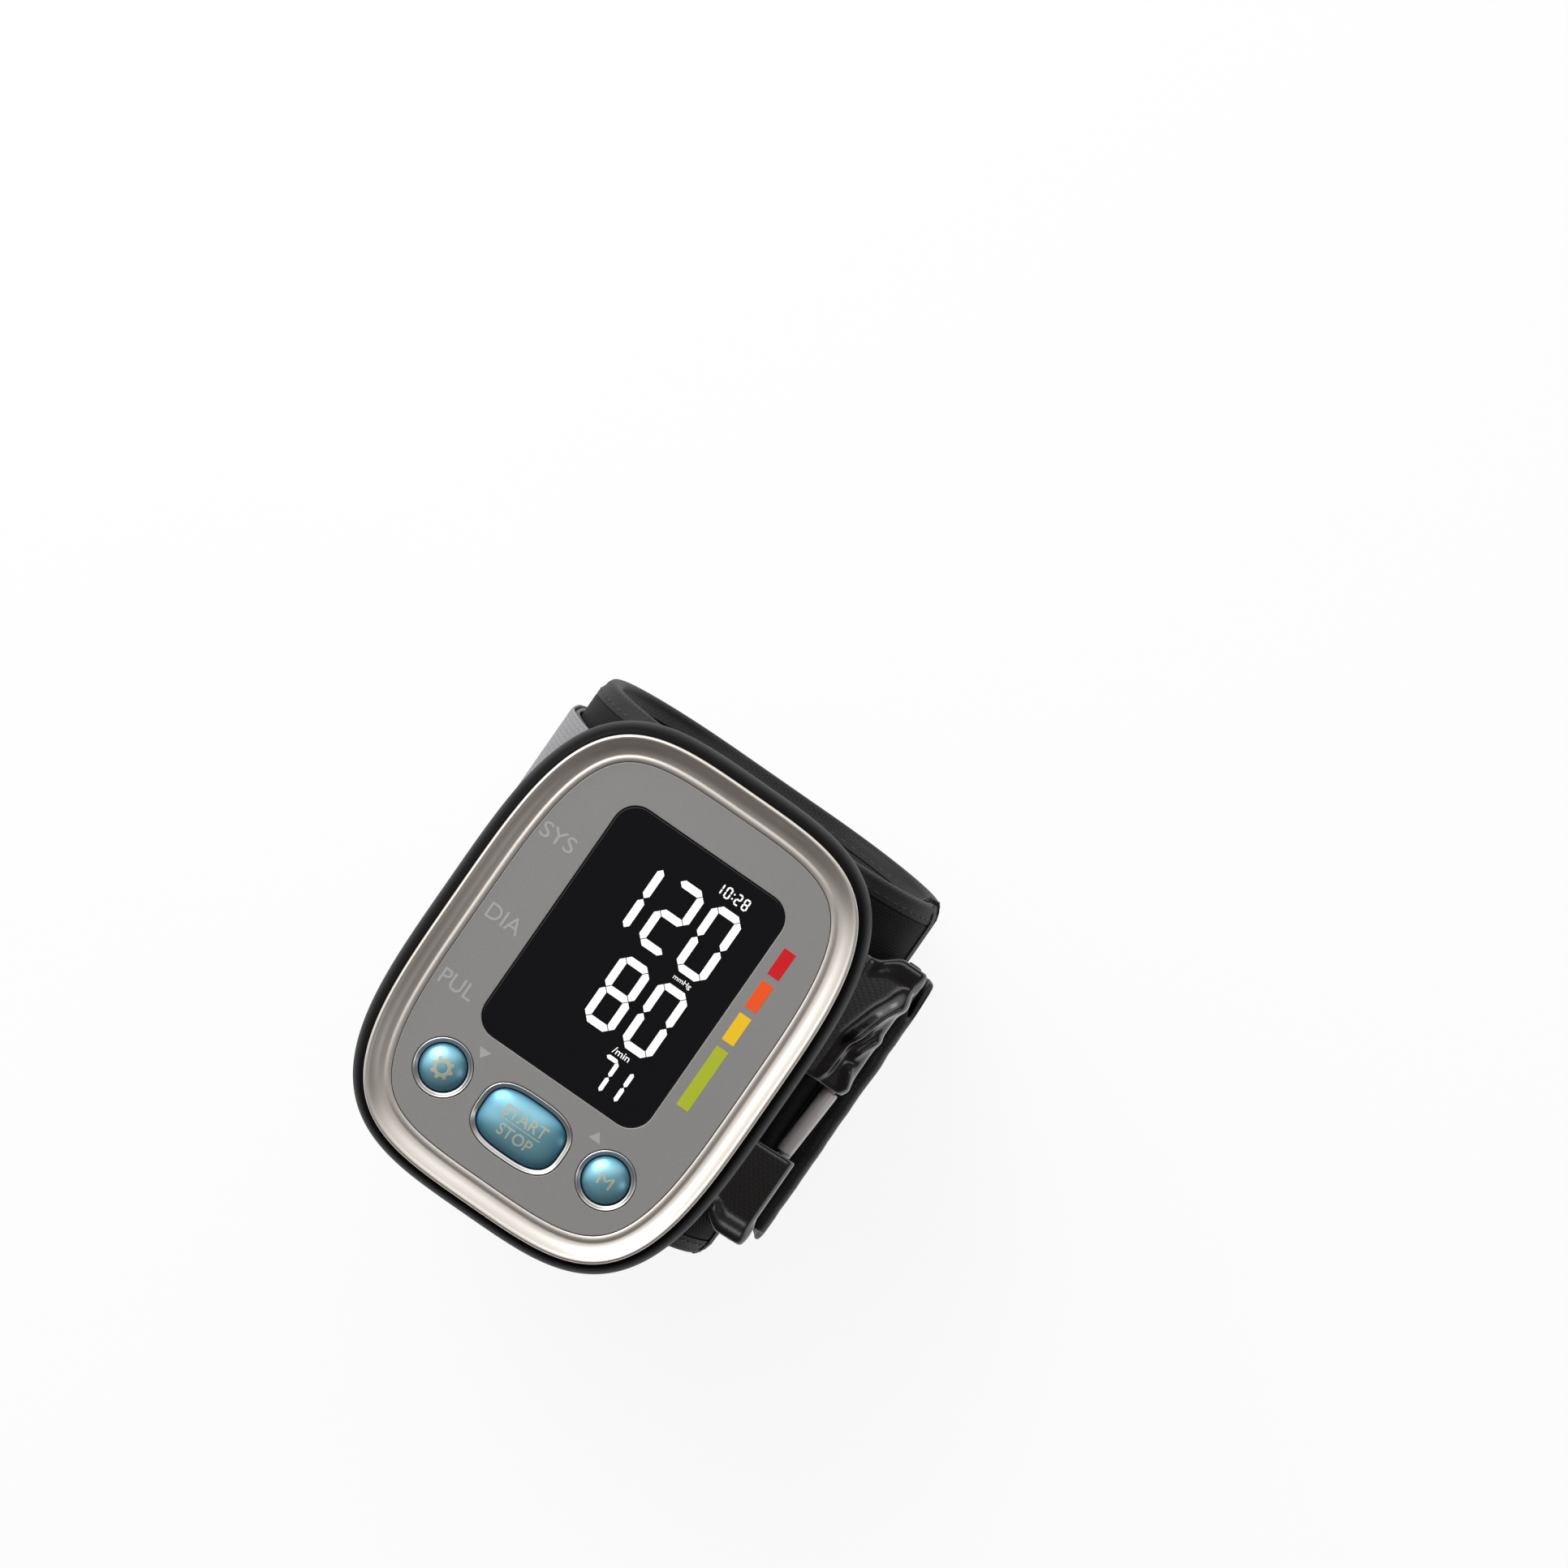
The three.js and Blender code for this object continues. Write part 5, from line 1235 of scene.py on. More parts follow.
class CuffLoop:
    """Course of the cuff round the wrist: corner centres and stations."""

    def __init__(self):
        low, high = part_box("cuff_cover")
        radius = cuff().cover_outer
        self.left = low.x + radius
        self.right = high.x - radius
        self.low = low.z + radius
        self.high = high.z - radius
        self.top = high.z
        self.near = low.y
        self.far = high.y - cuff().lean * (self.top - low.z)

    def lean(self, height):
        """Forward shift at a height."""
        return cuff().lean * (self.top - height)

    def corners(self, start=0.0):
        """Corner centres, each with the angles in degrees that the course turns through there."""
        return [(self.right, self.high, start, 90), (self.left, self.high, 90, 180),
                (self.left, self.low, 180, 270), (self.right, self.low, 270, 360)]

    def stations(self):
        """Centre and outward direction along the cuff from its upper free end to its lower one."""
        step = cuff().row_pitch
        corners = self.corners(math.degrees(cuff().start_angle))
        corners.append((self.right, self.low + cuff().end_rise, 360, 360))
        rows = []
        for x, z, first, last in corners:
            if rows:
                back_x, back_z, *way = rows[-1]
                count = max(1, round(math.hypot(x - back_x, z - back_z) / step))
                for share in (number / count for number in range(1, count)):
                    rows.append((back_x + (x - back_x) * share, back_z + (z - back_z) * share, *way))
            count = max(1, round(abs(math.radians(last - first)) * cuff().cover_outer / step))
            for number in range(count + 1 if last != first else 1):
                angle = math.radians(first + (last - first) * number / count)
                rows.append((x, z, math.cos(angle), math.sin(angle)))
        return rows

    def prism(self, name, radius):
        """Solid of the whole loop section along the arm."""
        reach = 100 * MM
        points = []
        for x, z, first, last in self.corners():
            points += arc((x, z), radius, first, last, 24)
        return loft(name, [[Vector((point.x, y, point.y)) for point in points] for y in (-reach, reach)])


def band(name, outer, inner, uvs):
    """Closed sheet between two grids of points, with a UV map in metres."""
    rows = len(outer)
    columns = len(outer[0])
    back = rows * columns
    faces = []
    for row in range(rows - 1):
        for column in range(columns - 1):
            here = row * columns + column
            above = here + columns
            faces.append((here, above, above + 1, here + 1))
            faces.append((back + here, back + here + 1, back + above + 1, back + above))
    rims = [(row * columns + column, (row + 1) * columns + column)
            for row in range(rows - 1) for column in (0, columns - 1)]
    rims += [(row * columns + column, row * columns + column + 1)
             for column in range(columns - 1) for row in (0, rows - 1)]
    faces += [(first, back + first, back + second, second) for first, second in rims]
    vertices = [point for grid in (outer, inner) for row in grid for point in row]
    return solid(name, vertices, faces, 50, 2 * [uv for row in uvs for uv in row])


def columns_across(width, edge_rows, step):
    """Distances from one edge to the other, closer together at both edges."""
    inner = max(2, round((width - 2 * edge_rows[-1]) / step))
    middle = [edge_rows[-1] + (width - 2 * edge_rows[-1]) * number / inner for number in range(1, inner)]
    return list(edge_rows) + middle + [width - place for place in reversed(edge_rows)]


class MONITOR_OT_cuff(bpy.types.Operator):
    """Makes the padded cuff: cover, lining, edge tape and stitching"""

    bl_idname = "monitor.cuff"
    bl_label = "Cuff"

    def execute(self, context):
        """Builds each cloth layer on the same course."""
        self.loop = CuffLoop()
        self.width = self.loop.far - self.loop.near
        rows = self.loop.stations()
        self.rows = [(number / (len(rows) - 1), row) for number, row in enumerate(rows)]
        reach = cuff().tape_width
        edge = [0, 0.3 * MM, 0.8 * MM, 1.4 * MM] + [reach + past * MM for past in (-0.3, 0, 0.4, 1.2, 2.4)]
        across = columns_across(self.width, edge, 1.5 * MM)
        cover = self.layer("cuff_cover_cloth", across, self.cover_outer, lambda *spot: cuff().cover_inner)
        shown = piece("cuff_cover_cloth", cover, finish("cuff_black_nylon"), ["cuff_cover"])
        lining = self.layer("cuff_lining_cloth", across,
                            lambda *spot: self.lining_inner(*spot) + cuff().lining_thickness,
                            self.lining_inner)
        shown = piece("cuff_lining_cloth", lining, finish("cuff_soft_lining"), ["cuff_lining"])
        tape = finish("cuff_edge_tape")
        for side in ("near", "far"):
            piece(f"cuff_edge_tape_{side}", self.edge_tape(side), tape)
        for end in ("upper", "lower"):
            piece(f"cuff_end_tape_{end}", self.end_tape(end), tape)
        seams = [self.seam(side, outside) for side in ("near", "far") for outside in (True, False)]
        stitched("cuff_stitches", seams)
        return {"FINISHED"}

    def spot(self, row, distance, radius):
        """Point of the cuff at a station, a distance from the near edge and a radius."""
        x, z, across, up = row
        height = z + up * radius
        return Vector((x + across * radius, self.loop.near + distance + self.loop.lean(height), height))

    def from_near(self, side, edge):
        """Distance from the near edge of a place inside one of the long edges."""
        return edge if side == "near" else self.width - edge

    def edge_of(self, distance):
        """Distance to the nearer long edge."""
        return min(distance, self.width - distance)

    def pinch(self, edge):
        """How far the seam draws the cover in near a long edge."""
        return 0.5 * MM * (1 - eased(edge / (2.2 * MM)))

    def cover_outer(self, share, distance):
        """Outer radius of the cover, recessed under the edge tape."""
        edge = self.edge_of(distance)
        recess = 0.38 * MM * (1 - eased((edge - cuff().tape_width) / (0.4 * MM)))
        ripple = 0.1 * MM * noise.noise(Vector((share * 40, distance / MM * 0.12, 3.0)))
        return cuff().cover_outer - recess - self.pinch(edge) + min(0.0, ripple)

    def lining_inner(self, share, distance):
        """Wrist side radius of the lining: crowned in the middle, drawn out at the edges and ends."""
        edge = self.edge_of(distance)
        crown = eased((edge - 4 * MM) / (16 * MM))
        ripple = 0.5 + 0.5 * noise.noise(Vector((share * 26, distance / MM * 0.07, 9.0)))
        drawn = 2.6 * MM * (1 - eased(edge / (4.0 * MM)))
        ends = eased(share / 0.05) * eased((1 - share) / 0.05)
        return cuff().lining_inner + drawn - cuff().puff * crown * (0.7 + 0.5 * ripple) * ends

    def layer(self, name, across, outer, inner):
        """Cloth sheet between two radii."""
        far_side = []
        near_side = []
        uvs = []
        travelled = 0.0
        before = None
        for share, row in self.rows:
            far_side.append([self.spot(row, place, outer(share, place)) for place in across])
            near_side.append([self.spot(row, place, inner(share, place)) for place in across])
            middle = far_side[-1][len(across) // 2]
            travelled += (middle - before).length if before else 0.0
            before = middle
            uvs.append([(travelled, place) for place in across])
        return band(name, far_side, near_side, uvs)

    def edge_tape(self, side):
        """Ribbon folded over one long edge."""
        values = cuff()
        top = values.cover_outer - 0.36 * MM
        bulge = 0.55 * MM
        under = 0.03 * MM
        edges = [values.tape_width * step / 6 for step in range(7)]
        rings = []
        for share, row in self.rows:
            upper = [(edge, top - self.pinch(edge)) for edge in reversed(edges)]
            lower = [(edge, self.lining_inner(share, edge) - under) for edge in edges]
            section = self.folded(upper, lower, lower[0][1] + under, bulge, values.tape_thickness)
            rings.append([self.spot(row, self.from_near(side, edge), radius) for edge, radius in section])
        return self.tape(rings)

    def end_tape(self, end):
        """Ribbon folded over one free end, across the cuff."""
        values = cuff()
        reach = values.tape_width
        share = 0.0 if end == "upper" else 1.0
        overhang = 0.95 * MM
        corner = 1.1 * MM
        bulge = 0.3 * MM
        above = 0.03 * MM
        under = 0.27 * MM
        count = 52
        rings = []
        for number in range(count + 1):
            distance = (self.width + 2 * overhang) * number / count - overhang
            edge = max(0.0, self.edge_of(distance))
            over_edge_tape = 0.42 * MM * (1 - eased((edge - reach) / (0.6 * MM)))
            high = values.cover_outer - self.pinch(edge) + above
            low = self.lining_inner(share, min(self.width, max(0.0, distance))) - over_edge_tape - under
            beyond = max(0.0, -distance, distance - self.width) / corner
            shrink = (high - low) / 2 * (1 - math.sqrt(1 - min(1.0, beyond) ** 2))
            upper = [(reach * (1 - step / 4), high - shrink) for step in range(5)]
            lower = [(reach * step / 4, low + shrink) for step in range(5)]
            section = self.folded(upper, lower, low + shrink, bulge, values.end_tape)
            rings.append([self.spot(self.end_station(end, inward), distance, radius)
                          for inward, radius in section])
        return self.tape(rings)

    def end_station(self, end, inward):
        """Station of the course a distance in from one free end."""
        loop = self.loop
        if end == "upper":
            angle = cuff().start_angle + inward / cuff().cover_outer
            return loop.right, loop.high, math.cos(angle), math.sin(angle)
        rise = cuff().end_rise - inward
        angle = min(0.0, rise) / cuff().cover_outer
        return loop.right, loop.low + max(0.0, rise), math.cos(angle), math.sin(angle)

    def folded(self, upper, lower, low, bulge, thick):
        """Closed section of a ribbon: over the top, round the edge, back below and home outside."""
        high = upper[-1][1]
        line = list(upper)
        for step in range(1, 8):
            angle = math.pi / 2 - math.pi * step / 8
            line.append((-bulge * math.cos(angle), (high + low) / 2 + (high - low) / 2 * math.sin(angle)))
        line += lower
        outside = []
        for (edge, radius), before, after in neighbours(line):
            along = (Vector(after) - Vector(before)).normalized()
            outside.append((edge + along.y * thick, radius - along.x * thick))
        return line + outside[::-1]

    def tape(self, rings):
        """Ribbon over rings of its section, with a UV map for its weave."""
        point_pitch = 0.7 * MM
        uvs = [(number * cuff().row_pitch, place * point_pitch)
               for number in range(len(rings)) for place in range(len(rings[0]))]
        return loft("tape", rings, 50, uvs=uvs)

    def seam(self, side, outside):
        """Line of stitches along one edge, clear of the end tapes."""
        inset = 1.5 * MM
        line = []
        for share, row in self.rows[2:-2]:
            if outside:
                radius = cuff().cover_outer - self.pinch(inset)
            else:
                radius = self.lining_inner(share, inset) - 0.38 * MM
            line.append(self.spot(row, self.from_near(side, inset), radius))
        return line


class StrapCourse:
    """Course of the strap from its sewn end over the ring and round the cuff; points are (x, z)."""

    def __init__(self):
        low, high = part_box("d_ring")
        self.loop = CuffLoop()
        self.pin = measured("ring_pin")[0].xz
        self.bar = Vector((high.x - strap().wire / 2, low.z + strap().wire / 2))

    def bend(self, centre, radius, first, last, step=1.0 * MM):
        """Points of an arc between two angles in degrees, about a step apart."""
        count = max(2, round(abs(math.radians(last - first)) * radius / step))
        return arc(centre, radius, first, last, count)

    def straight(self, first, last, step=1.0 * MM):
        """Points between two ends, the first one left out."""
        count = max(1, round((last - first).length / step))
        return [first.lerp(last, number / count) for number in range(1, count + 1)]

    def line(self):
        """Centre line from the sewn end to the free end."""
        loop = self.loop
        radius = strap().radius
        outer = strap().outer_radius
        fold = strap().fold_radius
        right = (loop.right, loop.low)
        sewn, meeting, leaving, landing = -30, -20, -34.4, -54
        points = self.bend(right, radius, sewn, 0)
        points += self.straight(points[-1], Vector((self.bar.x - fold, self.bar.y)))
        points += self.bend(self.bar, fold, 180, 0, 0.35 * MM)[1:]
        points += self.hang(points[-1], Vector(right), outer, math.radians(meeting))
        points += self.bend(right, outer, meeting, leaving)[1:]
        steps = 12
        for number in range(1, steps + 1):
            angle = leaving + (landing - leaving) * number / steps
            away = outer + (radius - outer) * eased(number / steps)
            points += arc(right, away, angle, angle, 1)[:1]
        points += self.bend(right, radius, landing, -90)[1:]
        points += self.straight(points[-1], Vector((loop.left, loop.low - radius)))
        points += self.bend((loop.left, loop.low), radius, 270, 180)[1:]
        return points + self.upper_end(points[-1], radius)

    def hang(self, start, centre, radius, angle):
        """Smooth curve from the fold over the ring down to the cuff."""
        way = Vector((math.cos(angle), math.sin(angle)))
        meet = centre + way * radius
        reach = (start.y - meet.y) / 2
        first = start - Vector((0, reach))
        second = meet + Vector((-way.y, way.x)) * reach
        points = []
        for number in range(1, 25):
            t = number / 24
            points.append(start * (1 - t) ** 3 + first * 3 * t * (1 - t) ** 2 + second * 3 * t * t * (1 - t)
                          + meet * t ** 3)
        return points

    def upper_end(self, start, radius):
        """Last stretch, up the left side and over to the free end."""
        centre = (self.loop.left, self.loop.high)
        free_end = 145
        points = self.straight(start, Vector((centre[0] - radius, centre[1])))
        return points + self.bend(centre, radius, 180, free_end)[1:]

    def place(self, point, distance):
        """Place along the arm of a strap point, from the strap's near edge."""
        start = strap().middle - strap().width / 2
        shift = strap().slant * (self.bar.x - strap().fold_radius - point.x)
        return start + distance + self.loop.lean(point.y) + shift + self.spread(point, distance)

    def spread(self, point, distance):
        """Fan of the strap below the ring, with its upper far corner drawn in."""
        share = distance / strap().width
        outside = eased((point.x - self.bar.x + 0.6 * MM) / (2.6 * MM))
        lifted = eased((point.y - 10 * MM) / (16 * MM))
        below = eased((self.bar.y + 1.5 * MM - point.y) / (5 * MM))
        corner = eased((point.y - self.bar.y + 4 * MM) / (6 * MM)) * eased((share - 0.7) / 0.3)
        draw = 4.8 * MM
        return outside * lifted * (strap().fan * (2 * share - 1) * below - draw * corner)


def ribbon(name, points, step, width, place, half, lift=None):
    """Closed flat strip along points; lift moves its surface, half is its half thickness."""
    edge_rows = [0, 0.1 * MM, 0.25 * MM, 0.5 * MM]
    across = columns_across(width, edge_rows, step)
    outer = []
    inner = []
    uvs = []
    travelled = 0.0
    for point, behind, ahead in neighbours(points):
        along = (ahead - behind).normalized()
        normal = Vector((-along.y, along.x))
        travelled += (point - behind).length
        for side in (outer, inner, uvs):
            side.append([])
        for distance in across:
            edge = min(distance, width - distance)
            round_off = math.sqrt(max(0.04, 1 - max(0.0, 1 - edge / edge_rows[-1]) ** 2))
            rise = lift(travelled, distance, point) if lift else 0.0
            y = place(point, distance)
            for side, away in ((outer, half), (inner, -half)):
                spot = point + normal * (rise + away * round_off)
                side[-1].append(Vector((spot.x, y, spot.y)))
            uvs[-1].append((travelled, distance))
    return band(name, outer, inner, uvs)


class MONITOR_OT_strap(bpy.types.Operator):
    """Makes the strap, its tail and the grey end panel"""

    bl_idname = "monitor.strap"
    bl_label = "Strap"

    def execute(self, context):
        """Builds the strap in two lengths that meet under the wrist."""
        course = StrapCourse()
        values = strap()
        points = course.line()
        self.hang_x = course.bar.x - 0.35 * MM
        cut = next(number for number, point in enumerate(points)
                   if number > len(points) // 2 and point.x < values.seam_x)
        satin = finish("strap_satin_black")
        common = (1.6 * MM, values.width, course.place, values.thickness / 2)
        strip = ribbon("strap_band", points[:cut + 1], *common, self.wrinkle)
        piece("strap_band", strip, satin, ["closure_strap"])
        tail = ribbon("strap_tail_band", points[cut:], *common)
        shown = piece("strap_tail_band", tail, satin, ["strap_tail"], body=None)
        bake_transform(shown)
        self.panel(course)
        return {"FINISHED"}

    def wrinkle(self, travelled, distance, point):
        """Soft folds where the strap hangs from the ring."""
        if point.x < self.hang_x:
            return 0.0
        fade = eased((point.x - self.hang_x) / (2.5 * MM))
        folds = noise.noise(Vector((distance / MM * 0.16, travelled / MM * 0.03, 5.0)))
        fine = noise.noise(Vector((distance / MM * 0.5, travelled / MM * 0.12, 1.0)))
        return fade * (0.3 * folds + 0.08 * fine) * MM

    def panel(self, course):
        """Grey end panel on the outside of the tail."""
        values = strap()
        lower_edge = 204
        points = course.bend((course.loop.left, course.loop.low), values.panel_radius, lower_edge, 180)
        points += course.upper_end(points[-1], values.panel_radius)
        mesh = ribbon("strap_grip_panel", points, 2 * MM, values.width, course.place,
                      values.panel_thickness / 2)
        piece("strap_grip_panel", mesh, finish("panel_grey_weave"), ["strap_end_panel"],
              "tail")


# Pleats of the upper tab: first and last place (x, y) and width in millimetres, and share of the height
PLEATS = (
    ((41.4, 27.0), (37.0, 15.6), 1.1, 1.15),
    ((37.4, 17.4), (36.3, 7.5), 0.9, 0.6),
    ((41.2, 19.0), (39.4, 13.4), 0.8, 0.6),
    ((39.9, 12.0), (41.6, 7.4), 0.8, 0.5),
)


class MONITOR_OT_ring(bpy.types.Operator):
    """Makes the wire ring, its bright bar and the two tabs"""

    bl_idname = "monitor.ring"
    bl_label = "Ring and tabs"

    def execute(self, context):
        """Sweeps the wire, turns the bar and folds the tabs."""
        course = StrapCourse()
        wire = finish("ring_black_coat")
        piece("wire_ring", self.ring(course), wire, ["d_ring"], "ring")
        piece("bright_bar", self.bar(), finish("bar_bright_steel"), ["ring_pin"])
        piece("bar_end_caps", self.caps(), wire)
        for name in TAB_NODES:
            piece(f"{name}_band", self.tab(course, name), finish("tab_glossy_black"), [name])
        stitched("tab_stitches", [self.stitching(course.loop, name) for name in TAB_NODES])
        return {"FINISHED"}

    def ring(self, course):
        """Wire from one eye along the low bar to the other eye."""
        low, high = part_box("d_ring")
        radius = strap().wire / 2
        corner = strap().wire_corner
        pin = Vector((course.pin.x, 0, course.pin.y))
        bar = Vector((course.bar.x, 0, course.bar.y))
        way = (bar - pin).normalized()
        first = pin + way * (strap().eye - 0.1 * MM)
        near = Y_WAY * (low.y + radius)
        far = Y_WAY * (high.y - radius)
        bends = []
        for side, sign in ((near, 1), (far, -1)):
            inwards = Y_WAY * sign * corner
            centre = bar - way * corner + side + inwards
            bends.append([centre - inwards * across + way * corner * up for across, up in quarter(12)])
        line = [first + near] + bends[0] + bends[1][::-1] + [first + far]
        meshes = [self.tube(line, radius), self.eye(pin + near, radius), self.eye(pin + far, radius)]
        return finished(joined("wire_ring", meshes), 60)

    def tube(self, line, radius):
        """Round bar along points."""
        rings = []
        side = (line[1] - line[0]).orthogonal()
        for point, behind, ahead in neighbours(line):
            along = (ahead - behind).normalized()
            side = (side - along * side.dot(along)).normalized()
            rings.append(hoop(point, radius, side, along.cross(side), 20))
        return loft("wire", rings, 60)

    def eye(self, centre, half):
        """Round eye that turns on the bar."""
        hole = 1.25 * MM
        radius = strap().eye
        inner_bevel = 0.25 * MM
        outer_bevel = 0.35 * MM
        side = [(hole, 0.8), (hole + inner_bevel, 1.0), (radius - outer_bevel, 1.0), (radius, 0.6)]
        section = [(reach, -half * share) for reach, share in side]
        section += [(reach, half * share) for reach, share in reversed(side)]
        rings = [[centre + Vector((reach * across, width, reach * up)) for reach, width in section]
                 for across, up in circle(40)]
        return loft("eye", rings, 45, looped=True)

    def bar(self):
        """Turned bar with rounded ends and a roller between the tabs."""
        low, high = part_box("ring_pin")
        radius = (high.x - low.x) / 2
        trim = strap().bar_trim
        end = ((0.0, 0.55 * radius), (0.25 * MM, 0.85 * radius), (0.6 * MM, radius))
        meshes = [self.rod(low.y + trim, high.y - trim, end, 0.0)]
        wide = strap().roller
        gap = 0.3 * MM
        tilt = 0.35 * MM
        roller_end = ((0.0, wide - 0.3 * MM), (0.15 * MM, wide - 0.08 * MM), (0.45 * MM, wide))
        meshes.append(self.rod(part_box("ring_tab_lower")[1].y + gap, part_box("ring_tab_upper")[0].y - gap,
                               roller_end, tilt))
        return finished(joined("bar", meshes), 45)

    def rod(self, first, last, end, tilt):
        """Round rod between two places, with an end form of steps and radii and a sideways lean."""
        rows = [(first + step, -tilt, radius) for step, radius in end]
        return self.turned(rows + [(last - step, tilt, radius) for step, radius in reversed(end)])

    def turned(self, rows):
        """Round solid about the pin of rows: place along the arm, sideways shift and radius."""
        middle = measured("ring_pin")[0]
        rings = [hoop(Vector((middle.x + shift, y, middle.z)), radius, X_WAY, Z_WAY, 32)
                 for y, shift, radius in rows]
        return loft("turned", rings, 45)

    def caps(self):
        """Two round caps pressed on the bar ends."""
        low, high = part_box("ring_pin")
        radius = (high.x - low.x) / 2
        trim = strap().bar_trim
        profile = ((-0.16, 0.5), (-0.12, 0.9), (0.0, 1.12), (0.2, 1.14), (0.26, 1.02))
        meshes = [self.turned([(end + way * step * MM, 0.0, radius * share) for step, share in profile])
                  for end, way in ((low.y + trim, 1), (high.y - trim, -1))]
        return finished(joined("caps", meshes), 45)

    def tab(self, course, name):
        """Tab sewn on the cover that runs out and round the bar, spread and lifted over the ring's eye."""
        values = strap()
        pin = course.pin
        low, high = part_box(name)
        width = high.y - low.y
        upper = name == "ring_tab_upper"
        sewn_from, sewn_to, wrapped = 55, 44, 225
        corner = (course.loop.right, course.loop.high)
        points = course.bend(corner, values.radius, sewn_from, sewn_to, 0.6 * MM)
        start = points[-1]
        away = start - pin
        touch = math.degrees(math.atan2(away.y, away.x) - math.acos(values.tab_wrap / away.length))
        wrap = course.bend(pin, values.tab_wrap, touch, touch - wrapped, 0.3 * MM)
        points += course.straight(start, wrap[0], 0.4 * MM) + wrap[1:]
        stand_off = 0.62 * MM

        def flare(point):
            """Share of the spread at a point: none on the cover or behind the bar."""
            outwards = eased((point.x - start.x) / (5 * MM))
            return outwards * eased((point.y - pin.y + 0.6 * MM) / (1.6 * MM))

        def place(point, distance):
            """Place along the arm, spread away from the roller."""
            stretch = 1 + values.flap * flare(point) / width
            return low.y + distance * stretch if upper else high.y - (width - distance) * stretch

        def lift(travelled, distance, point):
            """Height over the eye and, on the upper tab, of the creases in front of the bar."""
            side = distance if upper else width - distance
            over_eye = eased((side - width + 3.5 * MM) / (2.5 * MM))
            clear = stand_off * eased(3 * flare(point)) * over_eye
            if not upper:
                return clear
            front_side = eased((point.y - pin.y + 0.3 * MM) / MM)
            return clear + front_side * self.creases(point, place(point, distance))

        return ribbon(f"{name}_band", points, 0.5 * MM, width, place, -values.thickness / 2, lift)

    def creases(self, point, y):
        """Height of the slanting pleats that the ring pulls in the upper tab."""
        hold = eased((point.x - 32.5 * MM) / (2.5 * MM))
        height = 0.0
        for first, last, wide, tall in PLEATS:
            start = Vector(first) * MM
            line = Vector(last) * MM - start
            spot = Vector((point.x, y)) - start
            share = spot.dot(line) / line.length_squared
            bend = 0.35 * MM * noise.noise(Vector((y / MM * 0.3, first[0], 2.0)))
            away = (spot.x * line.y - spot.y * line.x) / line.length + bend
            ends = eased((share + 0.15) / 0.35) * eased((1.15 - share) / 0.35)
            height += tall * ends * math.exp(-(away / (wide * MM)) ** 2)
        return hold * strap().crease * min(1.2, height)

    def stitching(self, loop, name):
        """Sewn box that holds a tab on the cover."""
        radius = strap().radius + strap().thickness / 2 + 0.02 * MM
        low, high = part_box(name)
        inset = 1.3 * MM
        near = low.y + inset
        far = high.y - inset
        top, foot = 53.6, 46.0
        corners = ((top, near), (top, far), (foot, far), (foot, near), (top, near))
        steps = 12
        box = []
        for (first, start_y), (last, end_y) in zip(corners, corners[1:]):
            side = arc((loop.right, loop.high), radius, first, last, steps)[:-1]
            for step, point in enumerate(side):
                box.append((point.x, start_y + (end_y - start_y) * step / steps, point.y))
        return box


# Finishes of the inner parts: nodes, 8 bit colour, roughness and metal share
INSIDE = {
    "steel_spring": (("battery_contact_positive", "battery_contact_negative", "battery_bridge_contact",
                      "valve_plunger", "pump_crank"), (198, 196, 192), 0.3, 1.0),
    "motor_steel": (("pump_motor", "exhaust_valve"), (178, 178, 176), 0.38, 1.0),
    "board_green_lacquer": (("main_board",), (36, 84, 58), 0.45, 0.0),
    "light_panel_white": (("backlight_panel", "buzzer", "pump_head"), (214, 212, 206), 0.5, 0.0),
    "connector_grey": (("lcd_zebra_strip",), (96, 98, 100), 0.6, 0.0),
    "display_glass": (("lcd_panel",), (70, 78, 76), 0.12, 0.0),
    "chip_black": (("control_chip", "pressure_sensor", "settings_switch", "memory_switch",
                    "start_stop_switch"), (28, 28, 30), 0.5, 0.0),
    "switch_white": (("settings_plunger", "memory_plunger", "start_stop_plunger", "air_manifold",
                      "cuff_nozzle"), (208, 206, 200), 0.45, 0.0),
    "soft_silicone": (("pump_diaphragm", "pump_tube", "valve_tube", "sensor_tube", "cuff_tube"),
                      (176, 178, 178), 0.55, 0.0),
    "bladder_rubber": (("air_bladder",), (92, 94, 98), 0.65, 0.0),
    "curl_plastic": (("cuff_curl",), (208, 208, 204), 0.5, 0.0),
}


